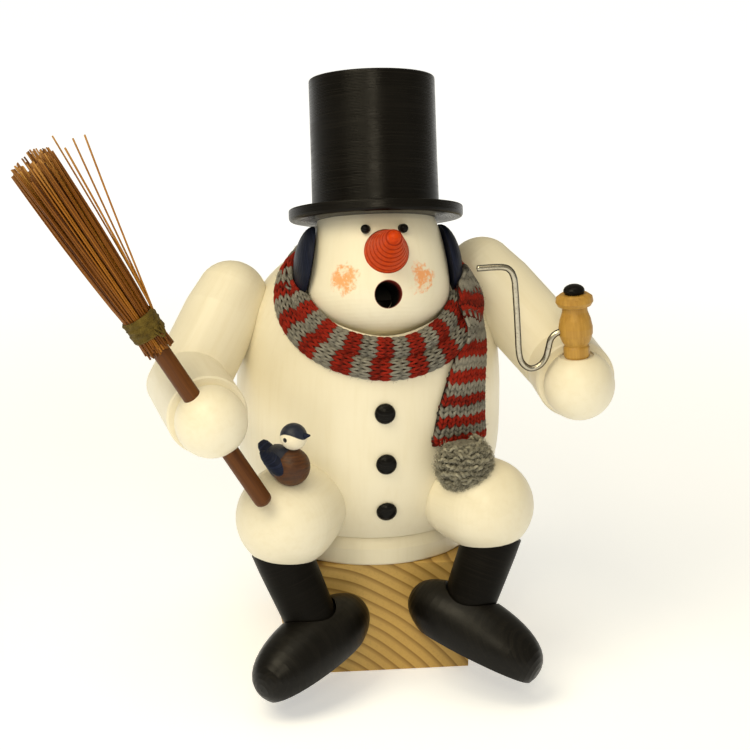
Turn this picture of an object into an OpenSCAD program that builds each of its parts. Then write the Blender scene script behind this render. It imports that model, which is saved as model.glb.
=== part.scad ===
// Snowman edge-sitter smoker: a turned wooden snowman sitting on a pine block.
// Millimetres. +Z up, the figure faces -Y, +X is the figure's own left hand.
// Origin: centre of the block's bottom face.

/* [Seat block] */
// Width of the pine seat block
block_w = 98.4; // [94:1:110]
// Depth of the pine seat block
block_d = 112; // [104:1:118]
// Height of the pine seat block, the level the figure sits at
seat_h = 64; // [60:1:72]

/* [Base plate] */
// Radius of the white base plate
base_r = 59.5; // [56:0.5:61]
// Thickness of the base plate
base_t = 16.5; // [14:0.5:18]

/* [Body] */
// Largest radius of the body
body_r = 74.6; // [70:0.2:78]
// Height of the largest radius above the seat
body_mid = 71; // [68:1:74]
// Height of the crown above the largest radius
body_top = 101; // [98:1:104]
// Radius of the smoke chamber
chamber_r = 34; // [31:0.5:36]

/* [Head and hat] */
// Backward tilt of the head in degrees
tilt = 17.7; // [12:0.1:20]
// Largest radius of the head
head_r = 38.8; // [37:0.2:40]
// Radius of the hat brim
brim_r = 47.3; // [44:0.1:49]
// Radius of the hat crown
crown_r = 34.5; // [32:0.1:36]
// Top of the hat measured along the head axis
hat_top = 103; // [90:1:108]
// Radius of the smoke hole that forms the mouth
mouth_r = 7.2; // [5:0.1:8]

/* [Arms and legs] */
// Radius of both arms
arm_r = 21.4; // [20:0.2:22]
// Radius of the ball hands
hand_r = 19; // [17:0.2:20]
// Radius of the rounded thighs
thigh_r = 27.5; // [26:0.5:29]
// Radius of the boot shafts
shaft_r = 15.5; // [14:0.1:17]

/* [Accessories] */
// Radius of the broom stick
stick_r = 4.8; // [4:0.1:5.5]
// Radius of the steel pipe stem
wire_r = 1.7; // [1.2:0.1:2]
// Radius of the shirt buttons
button_r = 5.6; // [4.5:0.1:6.5]

/* [Hidden] */
$fn = 64;

white = [0.93, 0.91, 0.86];
ink = [0.05, 0.05, 0.06];
navy = [0.10, 0.12, 0.22];

gap = 0.05;                     // glue-line clearance
seam_z = seat_h + base_t;       // underside of the body
mid_z = seat_h + body_mid;
body_low = body_mid - base_t;   // from the seam to the largest radius
spigot_r = chamber_r - 0.1;     // centres the figure on the plate

// --- vectors -------------------------------------------------------------
function unit(v) = v / norm(v);
// stands children up along the direction d at the point p
module along(p, d) {
  n = norm(d);
  translate(p) rotate([0, acos(d[2] / n), atan2(d[1], d[0])]) children();
}
// everything beyond the plane through p whose normal is n
module beyond(p, n, s = 160) { along(p, n) translate([-s / 2, -s / 2, 0]) cube([s, s, s]); }
// a plain round dowel between two points
module dowel(p, q, r) { along(p, q - p) cylinder(h = norm(q - p), r = r); }
module bore(p, q, r) { along(p, q - p) cylinder(h = norm(q - p), r = r + gap); }

// --- head frame ----------------------------------------------------------
head_o = [0, -31.7, seat_h + 162.2];
ha = [0, sin(tilt), cos(tilt)];          // up the head axis
hf = [0, -cos(tilt), sin(tilt)];         // out of the face
function hp(h, x, f) = head_o + h * ha + [x, 0, 0] + f * hf;
head_c = -11.5;                          // height of the largest head radius
head_lo = 28.1;
head_hi = 65.5;
brim_h0 = 26;
brim_h1 = 32.5;
head_floor = -38.6;
function head_rad(h) = h < head_c
  ? head_r * sqrt(max(0, 1 - pow((head_c - h) / head_lo, 2)))
  : head_r * sqrt(max(0, 1 - pow((h - head_c) / head_hi, 2)));
module head_axis() { translate(head_o) rotate([-tilt, 0, 0]) children(); }

// --- body profile --------------------------------------------------------
function body_rad(z) = z > mid_z
  ? body_r * sqrt(max(0, 1 - pow((z - mid_z) / body_top, 3.25)))
  : body_r * sqrt(max(0, 1 - pow((mid_z - z) / 84, 2.3)));
function up_z(i, n) = mid_z + body_top * (1 - pow(1 - i / n, 1.6));
function body_pts(o = 0) = concat(
  [for (i = [0:14]) let (z = seam_z + body_low * i / 14) [body_rad(z) + o, z]],
  [for (i = [1:22]) let (z = up_z(i, 22)) [body_rad(z) + (i < 22 ? o : 0), z + (i == 22 ? o : 0)]]);
module body_outer(o = 0) {
  rotate_extrude() polygon(concat([[0, seam_z]], body_pts(o)));
}

// --- seat block and base -------------------------------------------------
module seat_block() {
  color("burlywood")
  // sits a little to the figure's left
  translate([1.7 - block_w / 2, -block_d / 2, 0]) difference() {
    cube([block_w, block_d, seat_h]);
    for (s = [0, 1]) translate([s * block_w, 0, seat_h]) rotate([0, 45, 0])
      cube([1, 3 * block_d, 1], center = true);
    for (s = [0, 1]) translate([0, s * block_d, seat_h]) rotate([45, 0, 0])
      cube([3 * block_w, 1, 1], center = true);
  }
}

tray_floor = seam_z + 3;
module base_plate() {
  color(white) difference() {
    union() {
      rotate_extrude() polygon(concat([[0, seat_h]],
        [for (i = [0:10]) let (a = -90 + 18 * i)
          [base_r - 2 + 2 * cos(a) - (a > 0 ? 2 * sin(a) : 0), seat_h + (a < 0 ? 2 + 2 * sin(a) : base_t - 7 + 7 * sin(a))]],
        [[0, seam_z]]));
      translate([0, 0, seam_z - 2]) cylinder(h = 5, r = spigot_r);
    }
    // screw hole for the tray
    translate([0, 0, tray_floor - 9]) cylinder(h = 20, r = 1.5 + gap);
  }
}

module incense_tray() {
  color("silver") translate([0, 0, tray_floor]) difference() {
    cylinder(h = 5, r = 14);
    translate([0, 0, 0.8]) cylinder(h = 5, r = 13.2);
    translate([0, 0, -1]) cylinder(h = 5, r = 1.6);
  }
}

module tray_screw() {
  color("goldenrod") difference() {
    union() {
      translate([0, 0, tray_floor - 8]) cylinder(h = 9.2, r = 1.5);
      translate([0, 0, tray_floor + 0.8]) cylinder(h = 1.4, r = 3);
    }
    translate([-4, -0.4, tray_floor + 1.7]) cube([8, 0.8, 2]);
  }
}

// --- arms ----------------------------------------------------------------
// right is the figure's own right, on the -X side
hand_R = [-95, -97, 162.1];
elbow_R = [-103.6, -30, 163];
shoulder_R = [-77, 0, 205];
wrist_R = unit(hand_R - elbow_R);
hand_L = [102.1, -82, 171.5];

elbow_L = [104, -36, 171.5];
shoulder_L = [63, -2, 216];
wrist_L = unit(hand_L - elbow_L);
sink = 9.5;                      // the ball stands this far out of the cuff plane

function arm_mitre(s, e, w) = unit(unit(e - s) + w);
module upper_arm(s, e, w) {
  u = unit(e - s);
  len = norm(e - s);
  color(white) difference() {
    along(s, u) rotate_extrude() polygon(concat([[0, -19]],
      [for (i = [1:10]) let (a = -90 + 9 * i) [(arm_r - 1.5) * cos(a), 19 * sin(a)]],
      [[arm_r, 14], [arm_r, len + 50], [0, len + 50]]));
    beyond(e, arm_mitre(s, e, w));
    body_outer(gap);
  }
}
module forearm(s, e, w, hand) {
  color(white) difference() {
    along(e, w) difference() {
      translate([0, 0, -50]) rotate_extrude() polygon([[0, 0], [arm_r, 0],
        [arm_r, 50 + norm(hand - e) - sink - 1.2], [arm_r - 0.9, 50 + norm(hand - e) - sink],
        [0, 50 + norm(hand - e) - sink]]);
    }
    beyond(e, -arm_mitre(s, e, w));
    translate(hand) sphere(r = hand_r + gap);
  }
}
module arm_bores() {
  bore(elbow_R - 12 * arm_mitre(shoulder_R, elbow_R, wrist_R), elbow_R + 12 * arm_mitre(shoulder_R, elbow_R, wrist_R), 4);
  bore(elbow_L - 12 * arm_mitre(shoulder_L, elbow_L, wrist_L), elbow_L + 12 * arm_mitre(shoulder_L, elbow_L, wrist_L), 4);
  bore(hand_R - 24 * wrist_R, hand_R - 8 * wrist_R, 3);
  bore(hand_L - 24 * wrist_L, hand_L - 8 * wrist_L, 3);
}
function shoulder_in(s) = [s[0] * 0.70, s[1], s[2] - 6];
function shoulder_out(s) = [s[0] * 1.08, s[1], s[2] - 6];
module shoulder_bores() {
  bore(shoulder_in(shoulder_R), shoulder_out(shoulder_R), 4);
  bore(shoulder_in(shoulder_L), shoulder_out(shoulder_L), 4);
}
module upper_arm_right() { difference() { upper_arm(shoulder_R, elbow_R, wrist_R); arm_bores(); shoulder_bores(); } }
module upper_arm_left() { difference() { upper_arm(shoulder_L, elbow_L, wrist_L); arm_bores(); shoulder_bores(); } }
module forearm_right() { difference() { forearm(shoulder_R, elbow_R, wrist_R, hand_R); arm_bores(); } }
module forearm_left() { difference() { forearm(shoulder_L, elbow_L, wrist_L, hand_L); arm_bores(); } }
module shoulder_dowels() {
  color("burlywood") {
    dowel(shoulder_in(shoulder_R), shoulder_out(shoulder_R), 4);
    dowel(shoulder_in(shoulder_L), shoulder_out(shoulder_L), 4);
  }
}
module elbow_dowels() {
  color("burlywood") {
    dowel(elbow_R - 11 * arm_mitre(shoulder_R, elbow_R, wrist_R), elbow_R + 11 * arm_mitre(shoulder_R, elbow_R, wrist_R), 4);
    dowel(elbow_L - 11 * arm_mitre(shoulder_L, elbow_L, wrist_L), elbow_L + 11 * arm_mitre(shoulder_L, elbow_L, wrist_L), 4);
  }
}
module wrist_dowels() {
  color("burlywood") {
    dowel(hand_R - 23.5 * wrist_R, hand_R - 8.5 * wrist_R, 3);
    dowel(hand_L - 23.5 * wrist_L, hand_L - 8.5 * wrist_L, 3);
  }
}

// --- legs ----------------------------------------------------------------
thigh_dir_R = unit([-0.438, -0.899, 0]);
thigh_dir_L = unit([0.5, -0.866, 0]);
knee_R = [-53.6, -74, seat_h + 36.2];
knee_L = [55, -73, seat_h + 38.5];
thigh_r_L = thigh_r - 1.7;
// boot shafts start under the knees and lean inward
shin_R = unit([0.42, -0.18, -1]);
shin_L = unit([-0.38, -0.18, -1]);
knee_out_R = [-54.8, -78, seat_h + 12.4];
knee_out_L = [56, -77.5, seat_h + 15];
shin_up = 10;                        // tenon inside the thigh
shin_len = 34;                       // visible length down to the shoe
toe_R = unit(0.80 * unit([-1, 0, 0] + shin_R[0] * shin_R) + 0.6 * unit([0, -1, 0] + shin_R[1] * shin_R));
toe_L = unit(0.87 * unit([1, 0, 0] - shin_L[0] * shin_L) + 0.5 * unit([0, -1, 0] + shin_L[1] * shin_L));

module thigh_solid(knee, dir, r, o = 0) {
  along(knee, dir) rotate_extrude() polygon(concat(
    [for (i = [0:14]) let (a = 90 - 90 * i / 14) [(r + o) * cos(a), (r + 0.5 + o) * sin(a)]],
    [[r + o, -4], [r - 1 + o, -18], [r - 4.5 + o, -36], [0, -36]]));
}
module thigh(knee, dir, r, out, shin) {
  color(white) difference() {
    thigh_solid(knee, dir, r);
    body_outer(gap);
    // clears the body seam and the lift-off base plate
    translate([0, 0, seat_h - 4]) cylinder(h = base_t + 5, r = base_r + 1.2, $fn = 96);
    // socket for the boot shaft
    along(out - shin_up * shin, shin) cylinder(h = 60, r = shaft_r + gap);
  }
}
module hip_bores() {
  bore(knee_R - 52 * thigh_dir_R, knee_R - 4 * thigh_dir_R, 5);
  bore(knee_L - 52 * thigh_dir_L, knee_L - 4 * thigh_dir_L, 5);
}
module hip_dowels() {
  color("burlywood") {
    dowel(knee_R - 51.5 * thigh_dir_R, knee_R - 4.5 * thigh_dir_R, 5);
    dowel(knee_L - 51.5 * thigh_dir_L, knee_L - 4.5 * thigh_dir_L, 5);
  }
}
module boot_shaft(out, shin) {
  color(ink) along(out - (shin_up - gap) * shin, shin) rotate_extrude()
    polygon([[0, 0], [shaft_r, 0], [shaft_r, shin_up], [shaft_r - 1.6, shin_up + shin_len + 8], [0, shin_up + shin_len + 8]]);
}
shoe_len = 83;
shoe_r = 19.8;
// turned egg lying along the toe direction, sawn flat underneath
module shoe(out, shin, toe, dip, rise, reach) {
  c = out + (shin_len + 14.5 - rise) * shin + reach * toe;
  axis = unit(toe + dip * shin);
  sole = unit(shin - 0.35 * dip * toe);
  color(ink) difference() {
    along(c, axis) rotate_extrude() polygon([for (i = [0:24]) let (a = -90 + 180 * i / 24)
      [shoe_r * (1.01 + 0.03 * sin(a)) * pow(max(0, cos(a)), 0.80), shoe_len / 2 * sin(a)]]);
    beyond(c + 12 * sole, sole, 200);
    // seat for the shaft
    along(out, shin) cylinder(h = shin_len + 8 + gap, r = shaft_r + 0.05);
  }
}
module ankle_dowels() {
  color("burlywood") {
    dowel(knee_out_R + (shin_len - 6) * shin_R, knee_out_R + (shin_len + 20) * shin_R, 4);
    dowel(knee_out_L + (shin_len - 6) * shin_L, knee_out_L + (shin_len + 20) * shin_L, 4);
  }
}
module ankle_bores() {
  bore(knee_out_R + (shin_len - 6.5) * shin_R, knee_out_R + (shin_len + 20.5) * shin_R, 4);
  bore(knee_out_L + (shin_len - 6.5) * shin_L, knee_out_L + (shin_len + 20.5) * shin_L, 4);
}
module thigh_right() { difference() { thigh(knee_R, thigh_dir_R, thigh_r, knee_out_R, shin_R); hip_bores(); bird_bore(); } }
module thigh_left() { difference() { thigh(knee_L, thigh_dir_L, thigh_r_L, knee_out_L, shin_L); hip_bores(); } }
module boot_shaft_right() { difference() { boot_shaft(knee_out_R, shin_R); ankle_bores(); } }
module boot_shaft_left() { difference() { boot_shaft(knee_out_L, shin_L); ankle_bores(); } }
module shoe_right() { difference() { shoe(knee_out_R, shin_R, toe_R, 0.10, 0.4, 7); ankle_bores(); } }
module shoe_left() { difference() { shoe(knee_out_L, shin_L, toe_L, 0.19, 3.2, 8.8); ankle_bores(); } }

// --- body ----------------------------------------------------------------
function button_z(i) = seat_h + [92.5, 64.2, 35.8][i];
button_th = [-1, -0.2, 0.8];     // angle of each button from straight ahead
function body_dir(phi) = [sin(phi), -cos(phi), 0];
function button_at(i, o) = (body_rad(button_z(i)) + o) * body_dir(button_th[i]) + [0, 0, button_z(i)];
function slope(z) = (body_rad(z - 0.5) - body_rad(z + 0.5));
function body_n(phi, z) = unit(body_dir(phi) + [0, 0, slope(z)]);

chamber_top = seat_h + 100;
module body_shell() {
  color(white) difference() {
    body_outer();
    // smoke chamber
    translate([0, 0, seam_z - 1]) cylinder(h = chamber_top - seam_z + 1, r = chamber_r);
    translate([0, 0, chamber_top - 0.01]) cylinder(h = 14, r1 = chamber_r, r2 = 14);
    // seat for the head
    head_axis() translate([0, 0, head_floor]) rotate_extrude()
      polygon([[0, 0], [24, 0], [head_r + 0.5, 16], [head_r + 0.5, 95], [0, 95]]);
    // smoke channel from the chamber to the head
    along([0, -12, chamber_top - 16], hp(head_floor, 0, 0) - [0, -12, chamber_top - 16])
      cylinder(h = norm(hp(head_floor, 0, 0) - [0, -12, chamber_top - 16]) + 12, r = 7);
    // draught hole low in the back
    translate([0, 0, seam_z + 14]) rotate([-90, 0, 0]) cylinder(h = 90, r = 6);
    for (i = [0:2]) bore(button_at(i, 0) - 8 * body_n(button_th[i], button_z(i)), button_at(i, 0) + 3 * body_n(button_th[i], button_z(i)), 2);
    shoulder_bores();
    hip_bores();
  }
}

module head() {
  color(white) difference() {
    head_axis() rotate_extrude() polygon(concat([[0, head_floor + 0.1]],
      [for (i = [0:14]) let (t = 18 + 72 * i / 14, h = head_c - head_lo * cos(t)) if (h > head_floor + 0.2) [head_r * sin(t), h]],
      [for (i = [1:14]) let (h = head_c + (brim_h0 - gap - head_c) * i / 14) [head_rad(h), h]],
      [[0, brim_h0 - gap]]));
    // smoke bore, mouth, nose, eyes and hat dowel
    head_axis() translate([0, 0, head_floor - 5]) cylinder(h = 26, r = mouth_r);
    along(hp(-17, 0, -2), hf) cylinder(h = 60, r = mouth_r);
    bore(nose_p - 12 * nose_dir, nose_p + 2 * nose_dir, 5);
    along(nose_p, nose_dir) cylinder(h = 20, r = nose_r + 0.1);
    for (x = eye_x) let (a = hp(eye_h, x * 0.63, 24.5), d = unit(hp(eye_h, x, 35.4) - a)) bore(a - 0.3 * d, a + 24 * d, eye_r);
    for (s = [-1, 1]) along(muff_c(s), [s * cos(muff_tilt), 0, 0] + sin(muff_tilt) * ha)
      translate([0, 0, -0.1]) cylinder(h = 20, r = muff_r + 0.2);
    head_axis() translate([0, 0, 6]) cylinder(h = 40, r = 5 + gap);
  }
}
module hat_brim() {
  color(ink) head_axis() difference() {
    rotate_extrude() polygon(concat([[0, brim_h0]],
      [for (i = [0:4]) let (a = -90 + 22.5 * i) [brim_r - 2 + 2 * cos(a), brim_h0 + 2 + 2 * sin(a)]],
      [for (i = [0:4]) let (a = 22.5 * i) [brim_r - 1 + cos(a), brim_h1 - 1 + sin(a)]],
      [[0, brim_h1]]));
    translate([0, 0, 6]) cylinder(h = 40, r = 5 + gap);
  }
}
module hat_crown() {
  color(ink) head_axis() difference() {
    rotate_extrude() polygon(concat([[0, brim_h1 + gap], [crown_r, brim_h1 + gap], [crown_r - 0.2, 60]],
      [for (i = [0:4]) let (a = 22.5 * i) [crown_r - 1.5 + 1.3 * cos(a), hat_top - 1.3 + 1.3 * sin(a)]],
      [[0, hat_top]]));
    translate([0, 0, 6]) cylinder(h = 40, r = 5 + gap);
  }
}
module hat_dowel() { color("burlywood") head_axis() translate([0, 0, 6.5]) cylinder(h = 39, r = 5); }

nose_r = 11.9;
nose_p = hp(5.2, 0, 34.6);
nose_len = 29;
nose_dir = unit(hf + 0.17 * ha);
nose_rings = 7;
// carrot nose with turned steps
module nose() {
  color("orangered") union() {
    along(nose_p + 0.05 * nose_dir, nose_dir) rotate_extrude() polygon(concat([[0, 0]],
      [for (i = [0:nose_rings - 1], k = [0, 1, 2]) let (r0 = nose_r - (nose_r - 4.2) * i / nose_rings,
        z0 = nose_len * i / nose_rings, dz = nose_len / nose_rings)
        k == 0 ? [r0 - 0.55, z0] : k == 1 ? [r0, z0 + 0.6] : [r0 - (nose_r - 4.2) / nose_rings + 0.35, z0 + dz - 0.35]],
      [[3.9, nose_len], [3.2, nose_len + 2], [1.8, nose_len + 3.2], [0, nose_len + 3.7]]));
    dowel(nose_p - 11.5 * nose_dir, nose_p + 2 * nose_dir, 5);
  }
}

eye_h = 17.6;
eye_x = [-11.0, 9.6];
eye_r = 2.4;
module eye(s) {
  color(ink) {
    along(hp(eye_h, eye_x[s] * 0.63, 24.5), hp(eye_h, eye_x[s], 35.4) - hp(eye_h, eye_x[s] * 0.63, 24.5))
      rotate_extrude() polygon(concat([[0, 0], [eye_r, 0]],
        [for (i = [0:7]) let (a = 90 * i / 7) [eye_r * cos(a), 11.4 + eye_r * sin(a)]]));
  }
}
module eye_right() { eye(0); }
module eye_left() { eye(1); }

muff_r = 18.4;
muff_tilt = 10;
function muff_c(s) = hp(4.5, s * 36.0, 1);
module ear_muff(s) {
  color(navy) along(muff_c(s), [s * cos(muff_tilt), 0, 0] + sin(muff_tilt) * ha) rotate_extrude()
    polygon(concat([[0, 0]], [for (i = [0:9]) let (a = 90 * i / 9) [muff_r * cos(a), 1.2 + 8.2 * sin(a)]]));
}
module ear_muff_right() { difference() { ear_muff(-1); body_outer(gap); } }
module ear_muff_left() { difference() { ear_muff(1); body_outer(gap); } }

module button(i) {
  n = body_n(button_th[i], button_z(i));
  color(ink) along(button_at(i, 0) - 7.5 * n, n) rotate_extrude() polygon(concat(
    [[0, 0], [2, 0], [2, 7.8], [button_r, 7.8]],
    [for (k = [0:7]) let (a = 90 * k / 7) [button_r * cos(a), 8.3 + 3.4 * sin(a)]]));
}
module button_top() { button(0); }
module button_middle() { button(1); }
module button_bottom() { button(2); }

// --- scarf ---------------------------------------------------------------
scarf_o = [0, -32, seat_h + 147];
scarf_slope = 35;
scarf_R = 47;
module scarf_ring(o = 0) {
  translate(scarf_o) rotate([scarf_slope, 0, 0]) rotate_extrude()
    polygon([for (i = [0:15]) let (a = 22.5 * i) [scarf_R + (10 + o) * cos(a), (10 + o) * sin(a)]]);
}
module scarf_space() { scarf_ring(0.05); head_space(); }
module head_space() {
  head_axis() rotate_extrude() polygon(concat([[0, head_floor - 1.5], [12, head_floor - 1.5]],
    [for (i = [1:10]) let (t = 18 + 72 * i / 10) [(head_r + 0.4) * sin(t), head_c - (head_lo + 0.4) * cos(t)]],
    [for (i = [1:8]) let (h = head_c + (brim_h0 - head_c) * i / 8) [head_rad(h) + 0.4, h]], [[0, brim_h0]]));
  head_axis() translate([0, 0, brim_h0 - 0.4]) cylinder(h = 30, r = brim_r + 0.4);
}
module arm_space(s, e, o = 0.4) {
  u = unit(e - s);
  along(s, u) rotate_extrude() polygon([[0, -19 - o], [8, -17.5 - o], [15, -13 - o], [19.5 + o, -3], [arm_r + o, 14], [arm_r + o, 60], [0, 60]]);
}
module scarf_neck() {
  color("brown") difference() {
    scarf_ring();
    body_outer(0.3);
    head_space();
    for (s = [-1, 1]) along(muff_c(s), [s * cos(muff_tilt), 0, 0] + sin(muff_tilt) * ha)
      rotate_extrude() polygon(concat([[0, -6], [muff_r + 0.3, -6]], [for (i = [0:5]) let (a = 90 * i / 5) [(muff_r + 0.3) * cos(a), 1.2 + 8.6 * sin(a)]]));
    // flat where the left arm is set
    beyond([47.7, -14.7, seat_h + 155.7], [0.785, 0.570, -0.242]);
  }
}
// a strap lying on the body: rows of [angle, height, half width]
function tail_ring(phi, z, hw, th) = let (r = body_rad(z) + 0.3, d = body_dir(phi), e = [cos(phi), sin(phi), 0],
    n = body_n(phi, z)) [
      for (k = [0:8]) let (t = -1 + k / 4, a = phi + t * hw / r * 57.3, rr = body_rad(z) + 0.3)
        rr * body_dir(a) + [0, 0, z],
      for (k = [0:8]) let (t = 1 - k / 4, a = phi + t * hw / r * 57.3, rr = body_rad(z) + 0.3, m = body_n(a, z))
        rr * body_dir(a) + [0, 0, z] + th * (0.45 + 0.55 * sqrt(max(0, 1 - pow(abs(t), 3)))) * m];
module strap(rows, th) {
  n = len(rows); m = 18;
  pts = [for (r = rows) each tail_ring(r[0], r[1], r[2], th)];
  polyhedron(points = pts, faces = concat(
    [[for (k = [0:m - 1]) k]],
    [for (i = [0:n - 2], k = [0:m - 1]) let (a = i * m + k, b = i * m + (k + 1) % m) [a, a + m, b]],
    [for (i = [0:n - 2], k = [0:m - 1]) let (a = i * m + k, b = i * m + (k + 1) % m) [b, a + m, b + m]],
    [[for (k = [m - 1:-1:0]) (n - 1) * m + k]]), convexity = 4);
}
function mixr(a, b, t) = a + (b - a) * t;
function tail_row(t) = [33.5 + 26.5 * pow(1 - t, 2.6), seat_h + 146 - 73 * t, 11 + 8.5 * t];
module scarf_tail_front() {
  color("brown") difference() { strap([for (i = [0:16]) tail_row(i / 16)], 6); scarf_space(); arm_space(shoulder_L, elbow_L, 0.5); }
}
module scarf_fringe_front() {
  color("dimgray") difference() { translate(fringe_p) sphere(r = 16.5); body_outer(0.3);
    thigh_keepout(); translate([0, 0, seat_h + 72.8]) cylinder(h = 40, r = 150); }
}
fringe_p = [41, -77, seat_h + 65];
module thigh_keepout() {
  thigh_solid(knee_L, thigh_dir_L, thigh_r_L, 0.3);
}
function back_row(t) = [150 - 4 * t, seat_h + 148 - 66 * t, 13 + 2 * t];
module scarf_tail_back() {
  color("brown") difference() { strap([for (i = [0:12]) back_row(i / 12)], 6); scarf_space(); }
}
module scarf_fringe_back() {
  p = (body_rad(seat_h + 72) + 8) * body_dir(146) + [0, 0, seat_h + 72];
  color("dimgray") difference() { translate(p) sphere(r = 15.5); body_outer(0.3);
    translate([0, 0, seat_h + 81.8]) cylinder(h = 40, r = 150); }
}

// --- hands ---------------------------------------------------------------
broom_dir = unit([-0.533, 0, 0.846]);      // up the stick
broom_e = [0.846, 0, 0.533];               // across the stick, towards the body
broom_c = [-95.2, -100.5, 161.7];
module hand_right() {
  color(white) difference() {
    translate(hand_R) rotate([60, 0, 40]) sphere(r = hand_r);
    dowel(broom_c - 40 * broom_dir, broom_c + 40 * broom_dir, stick_r + 0.05);
    arm_bores();
  }
}
module hand_left() {
  color(white) difference() {
    translate(hand_L) sphere(r = hand_r);
    along(pipe_foot - 10.5 * pipe_up, pipe_up) cylinder(h = 20, r = 2.5 + 0.05);
    along(pipe_foot, pipe_up) cylinder(h = 30, r = 9);
    arm_bores();
  }
}

// --- broom ---------------------------------------------------------------
module broom_handle() {
  color("saddlebrown") along(broom_c, broom_dir) rotate_extrude()
    polygon(concat([for (i = [0:4]) let (a = -90 + 22.5 * i) [stick_r * cos(a), -49.3 + 3.5 * sin(a)]],
      [[stick_r, 64], [0, 64]]));
}
module broom_bristles() {
  color("peru") difference() {
    along(broom_c, broom_dir) rotate_extrude()
      polygon([[0, 48], [7.6, 48], [8.3, 56], [8.3, 68], [9.1, 80], [11.8, 120], [14.6, 158], [13, 164], [0, 167]]);
    along(broom_c, broom_dir) translate([0, 0, 40]) cylinder(h = 24.1, r = stick_r + gap);
  }
}
module broom_binding() {
  color("olive") along(broom_c, broom_dir) rotate_extrude()
    polygon([[8.35, 57], [9.3, 57.6], [9.3, 67.4], [8.35, 68]]);
}
fibre_base = [[8.9, 68.3, 2.5], [9.1, 68.3, -1.5], [9.1, 68.3, 1.2], [9.2, 68.3, -0.1]];
fibre_tip = [[15.3, 166, 5.8], [18, 159, -3], [23.2, 160, 3], [29.4, 159, -2]];
function broom_pt(q) = broom_c + q[0] * broom_e + q[1] * broom_dir + [0, q[2], 0];
module broom_loose_fibres() {
  color("peru") for (k = [0:3]) dowel(broom_pt(fibre_base[k]), broom_pt(fibre_tip[k]), 0.5);
}

// --- pipe ----------------------------------------------------------------
pipe_foot = [99.7, -84, 187.6];
pipe_up = unit([-0.085, 0, 1]);
function cat(a, b, c, d, t) = 0.5 * (2 * b + (c - a) * t + (2 * a - 5 * b + 4 * c - d) * t * t + (3 * b - a - 3 * c + d) * t * t * t);
// round wire through hand-set points
module wire(pts, r, steps = 3, m = 12) {
  n = len(pts);
  path = concat([for (i = [0:n - 2], k = [0:steps - 1])
    cat(pts[max(i - 1, 0)], pts[i], pts[i + 1], pts[min(i + 2, n - 1)], k / steps)], [pts[n - 1]]);
  c = len(path);
  rings = [for (i = [0:c - 1]) let (d = unit(path[min(i + 1, c - 1)] - path[max(i - 1, 0)]),
    u = [0, 1, 0], v = cross(d, u)) each [for (k = [0:m - 1]) path[i] + r * (cos(360 * k / m) * u + sin(360 * k / m) * v)]];
  polyhedron(points = rings, faces = concat([[for (k = [0:m - 1]) k]],
    [for (i = [0:c - 2], k = [0:m - 1]) let (a = i * m + k, b = i * m + (k + 1) % m) [a, a + m, b + m, b]],
    [[for (k = [m - 1:-1:0]) (c - 1) * m + k]]), convexity = 6);
}
stem_pts = [[-5.5, 0, 14.6], [-11, 0, 13.6], [-14.4, 0, 10.4], [-15.6, 0, 5.5], [-17, 0, 0], [-20.2, 0, -4.2], [-25.2, 0, -5.6],
  [-29.4, 0, -2.6], [-31.4, 0, 3], [-32.3, 0, 13], [-33.2, 0, 24], [-34.3, 0, 36], [-35.2, 0, 43], [-37.4, 0, 47.6], [-42, 0, 49.6], [-55, 0, 49.2]];
module pipe_bowl() {
  color("tan") difference() {
    along(pipe_foot, pipe_up) union() {
      rotate_extrude() polygon([[0, 0], [6.3, 0], [6.9, 1.2], [6.9, 5.6], [6.2, 6.8], [7.6, 9], [9.0, 13], [9.1, 16.5],
        [8.2, 21], [6.8, 25], [6.6, 27.5], [8.8, 28.4], [10.0, 30.5], [9.6, 33], [7.5, 34.6], [0, 34.6]]);
      translate([0, 0, -10]) cylinder(h = 12, r = 2.5);
    }
    along(pipe_foot, pipe_up) translate([0, 0, 30]) cylinder(h = 10, r = 2.5 + gap);
    bore(pipe_foot + [-4.5, 0, 14.78], pipe_foot + [-24, 0, 11.24], wire_r + 0.25);
  }
}
module pipe_cap() {
  color(ink) along(pipe_foot, pipe_up) union() {
    translate([0, 0, 34.6 + gap]) rotate_extrude() polygon(concat([[0, 0], [5, 0]],
      [for (i = [0:6]) let (a = 15 * i) [5.7 * cos(a), 1.6 + 3.6 * sin(a)]]));
    translate([0, 0, 30.2]) cylinder(h = 6, r = 2.5);
  }
}
module pipe_stem() { color("gray") translate(pipe_foot) wire(stem_pts, wire_r); }

// --- bird ----------------------------------------------------------------
bird_p = [-52.9, -87.1, seat_h + 69];
bird_face = unit([0.786, -0.619, 0]);
bird_back = unit(-0.88 * bird_face + [0, 0, 0.30]);
bird_r = 10.3;
bird_head_r = 7.2;
bird_head_p = bird_p + [1.4, -0.4, 16.6];
module bird_bore() { bore(bird_p - [0, 0, 18], bird_p + [0, 0, 1], 1.5); }
module bird_peg() { color("burlywood") dowel(bird_p - [0, 0, 17.5], bird_p + [0, 0, 2], 1.5); }
module bird_egg(o = 0) {
  along(bird_p, bird_back) rotate_extrude() polygon(concat(
    [for (i = [0:10]) let (a = -90 + 11 * i) [(bird_r + o) * cos(a), (bird_r + o) * sin(a)]],
    [[9.0 + o, 7], [7.2 + o, 11], [5 + o, 14.5 + o], [2.6 + o, 16.6 + o], [0, 17.2 + o]]));
}
module bird_body() {
  color("sienna") difference() {
    bird_egg();
    thigh_solid(knee_R, thigh_dir_R, thigh_r, gap);
    bird_bore();
    bore(bird_p - [0, 0, 1], bird_p + [0, 0, 2.5], 1.5);
    translate(bird_head_p) sphere(r = bird_head_r + gap);
  }
}
bird_look = unit(bird_face + [0, 0, 0.22]);
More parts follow.
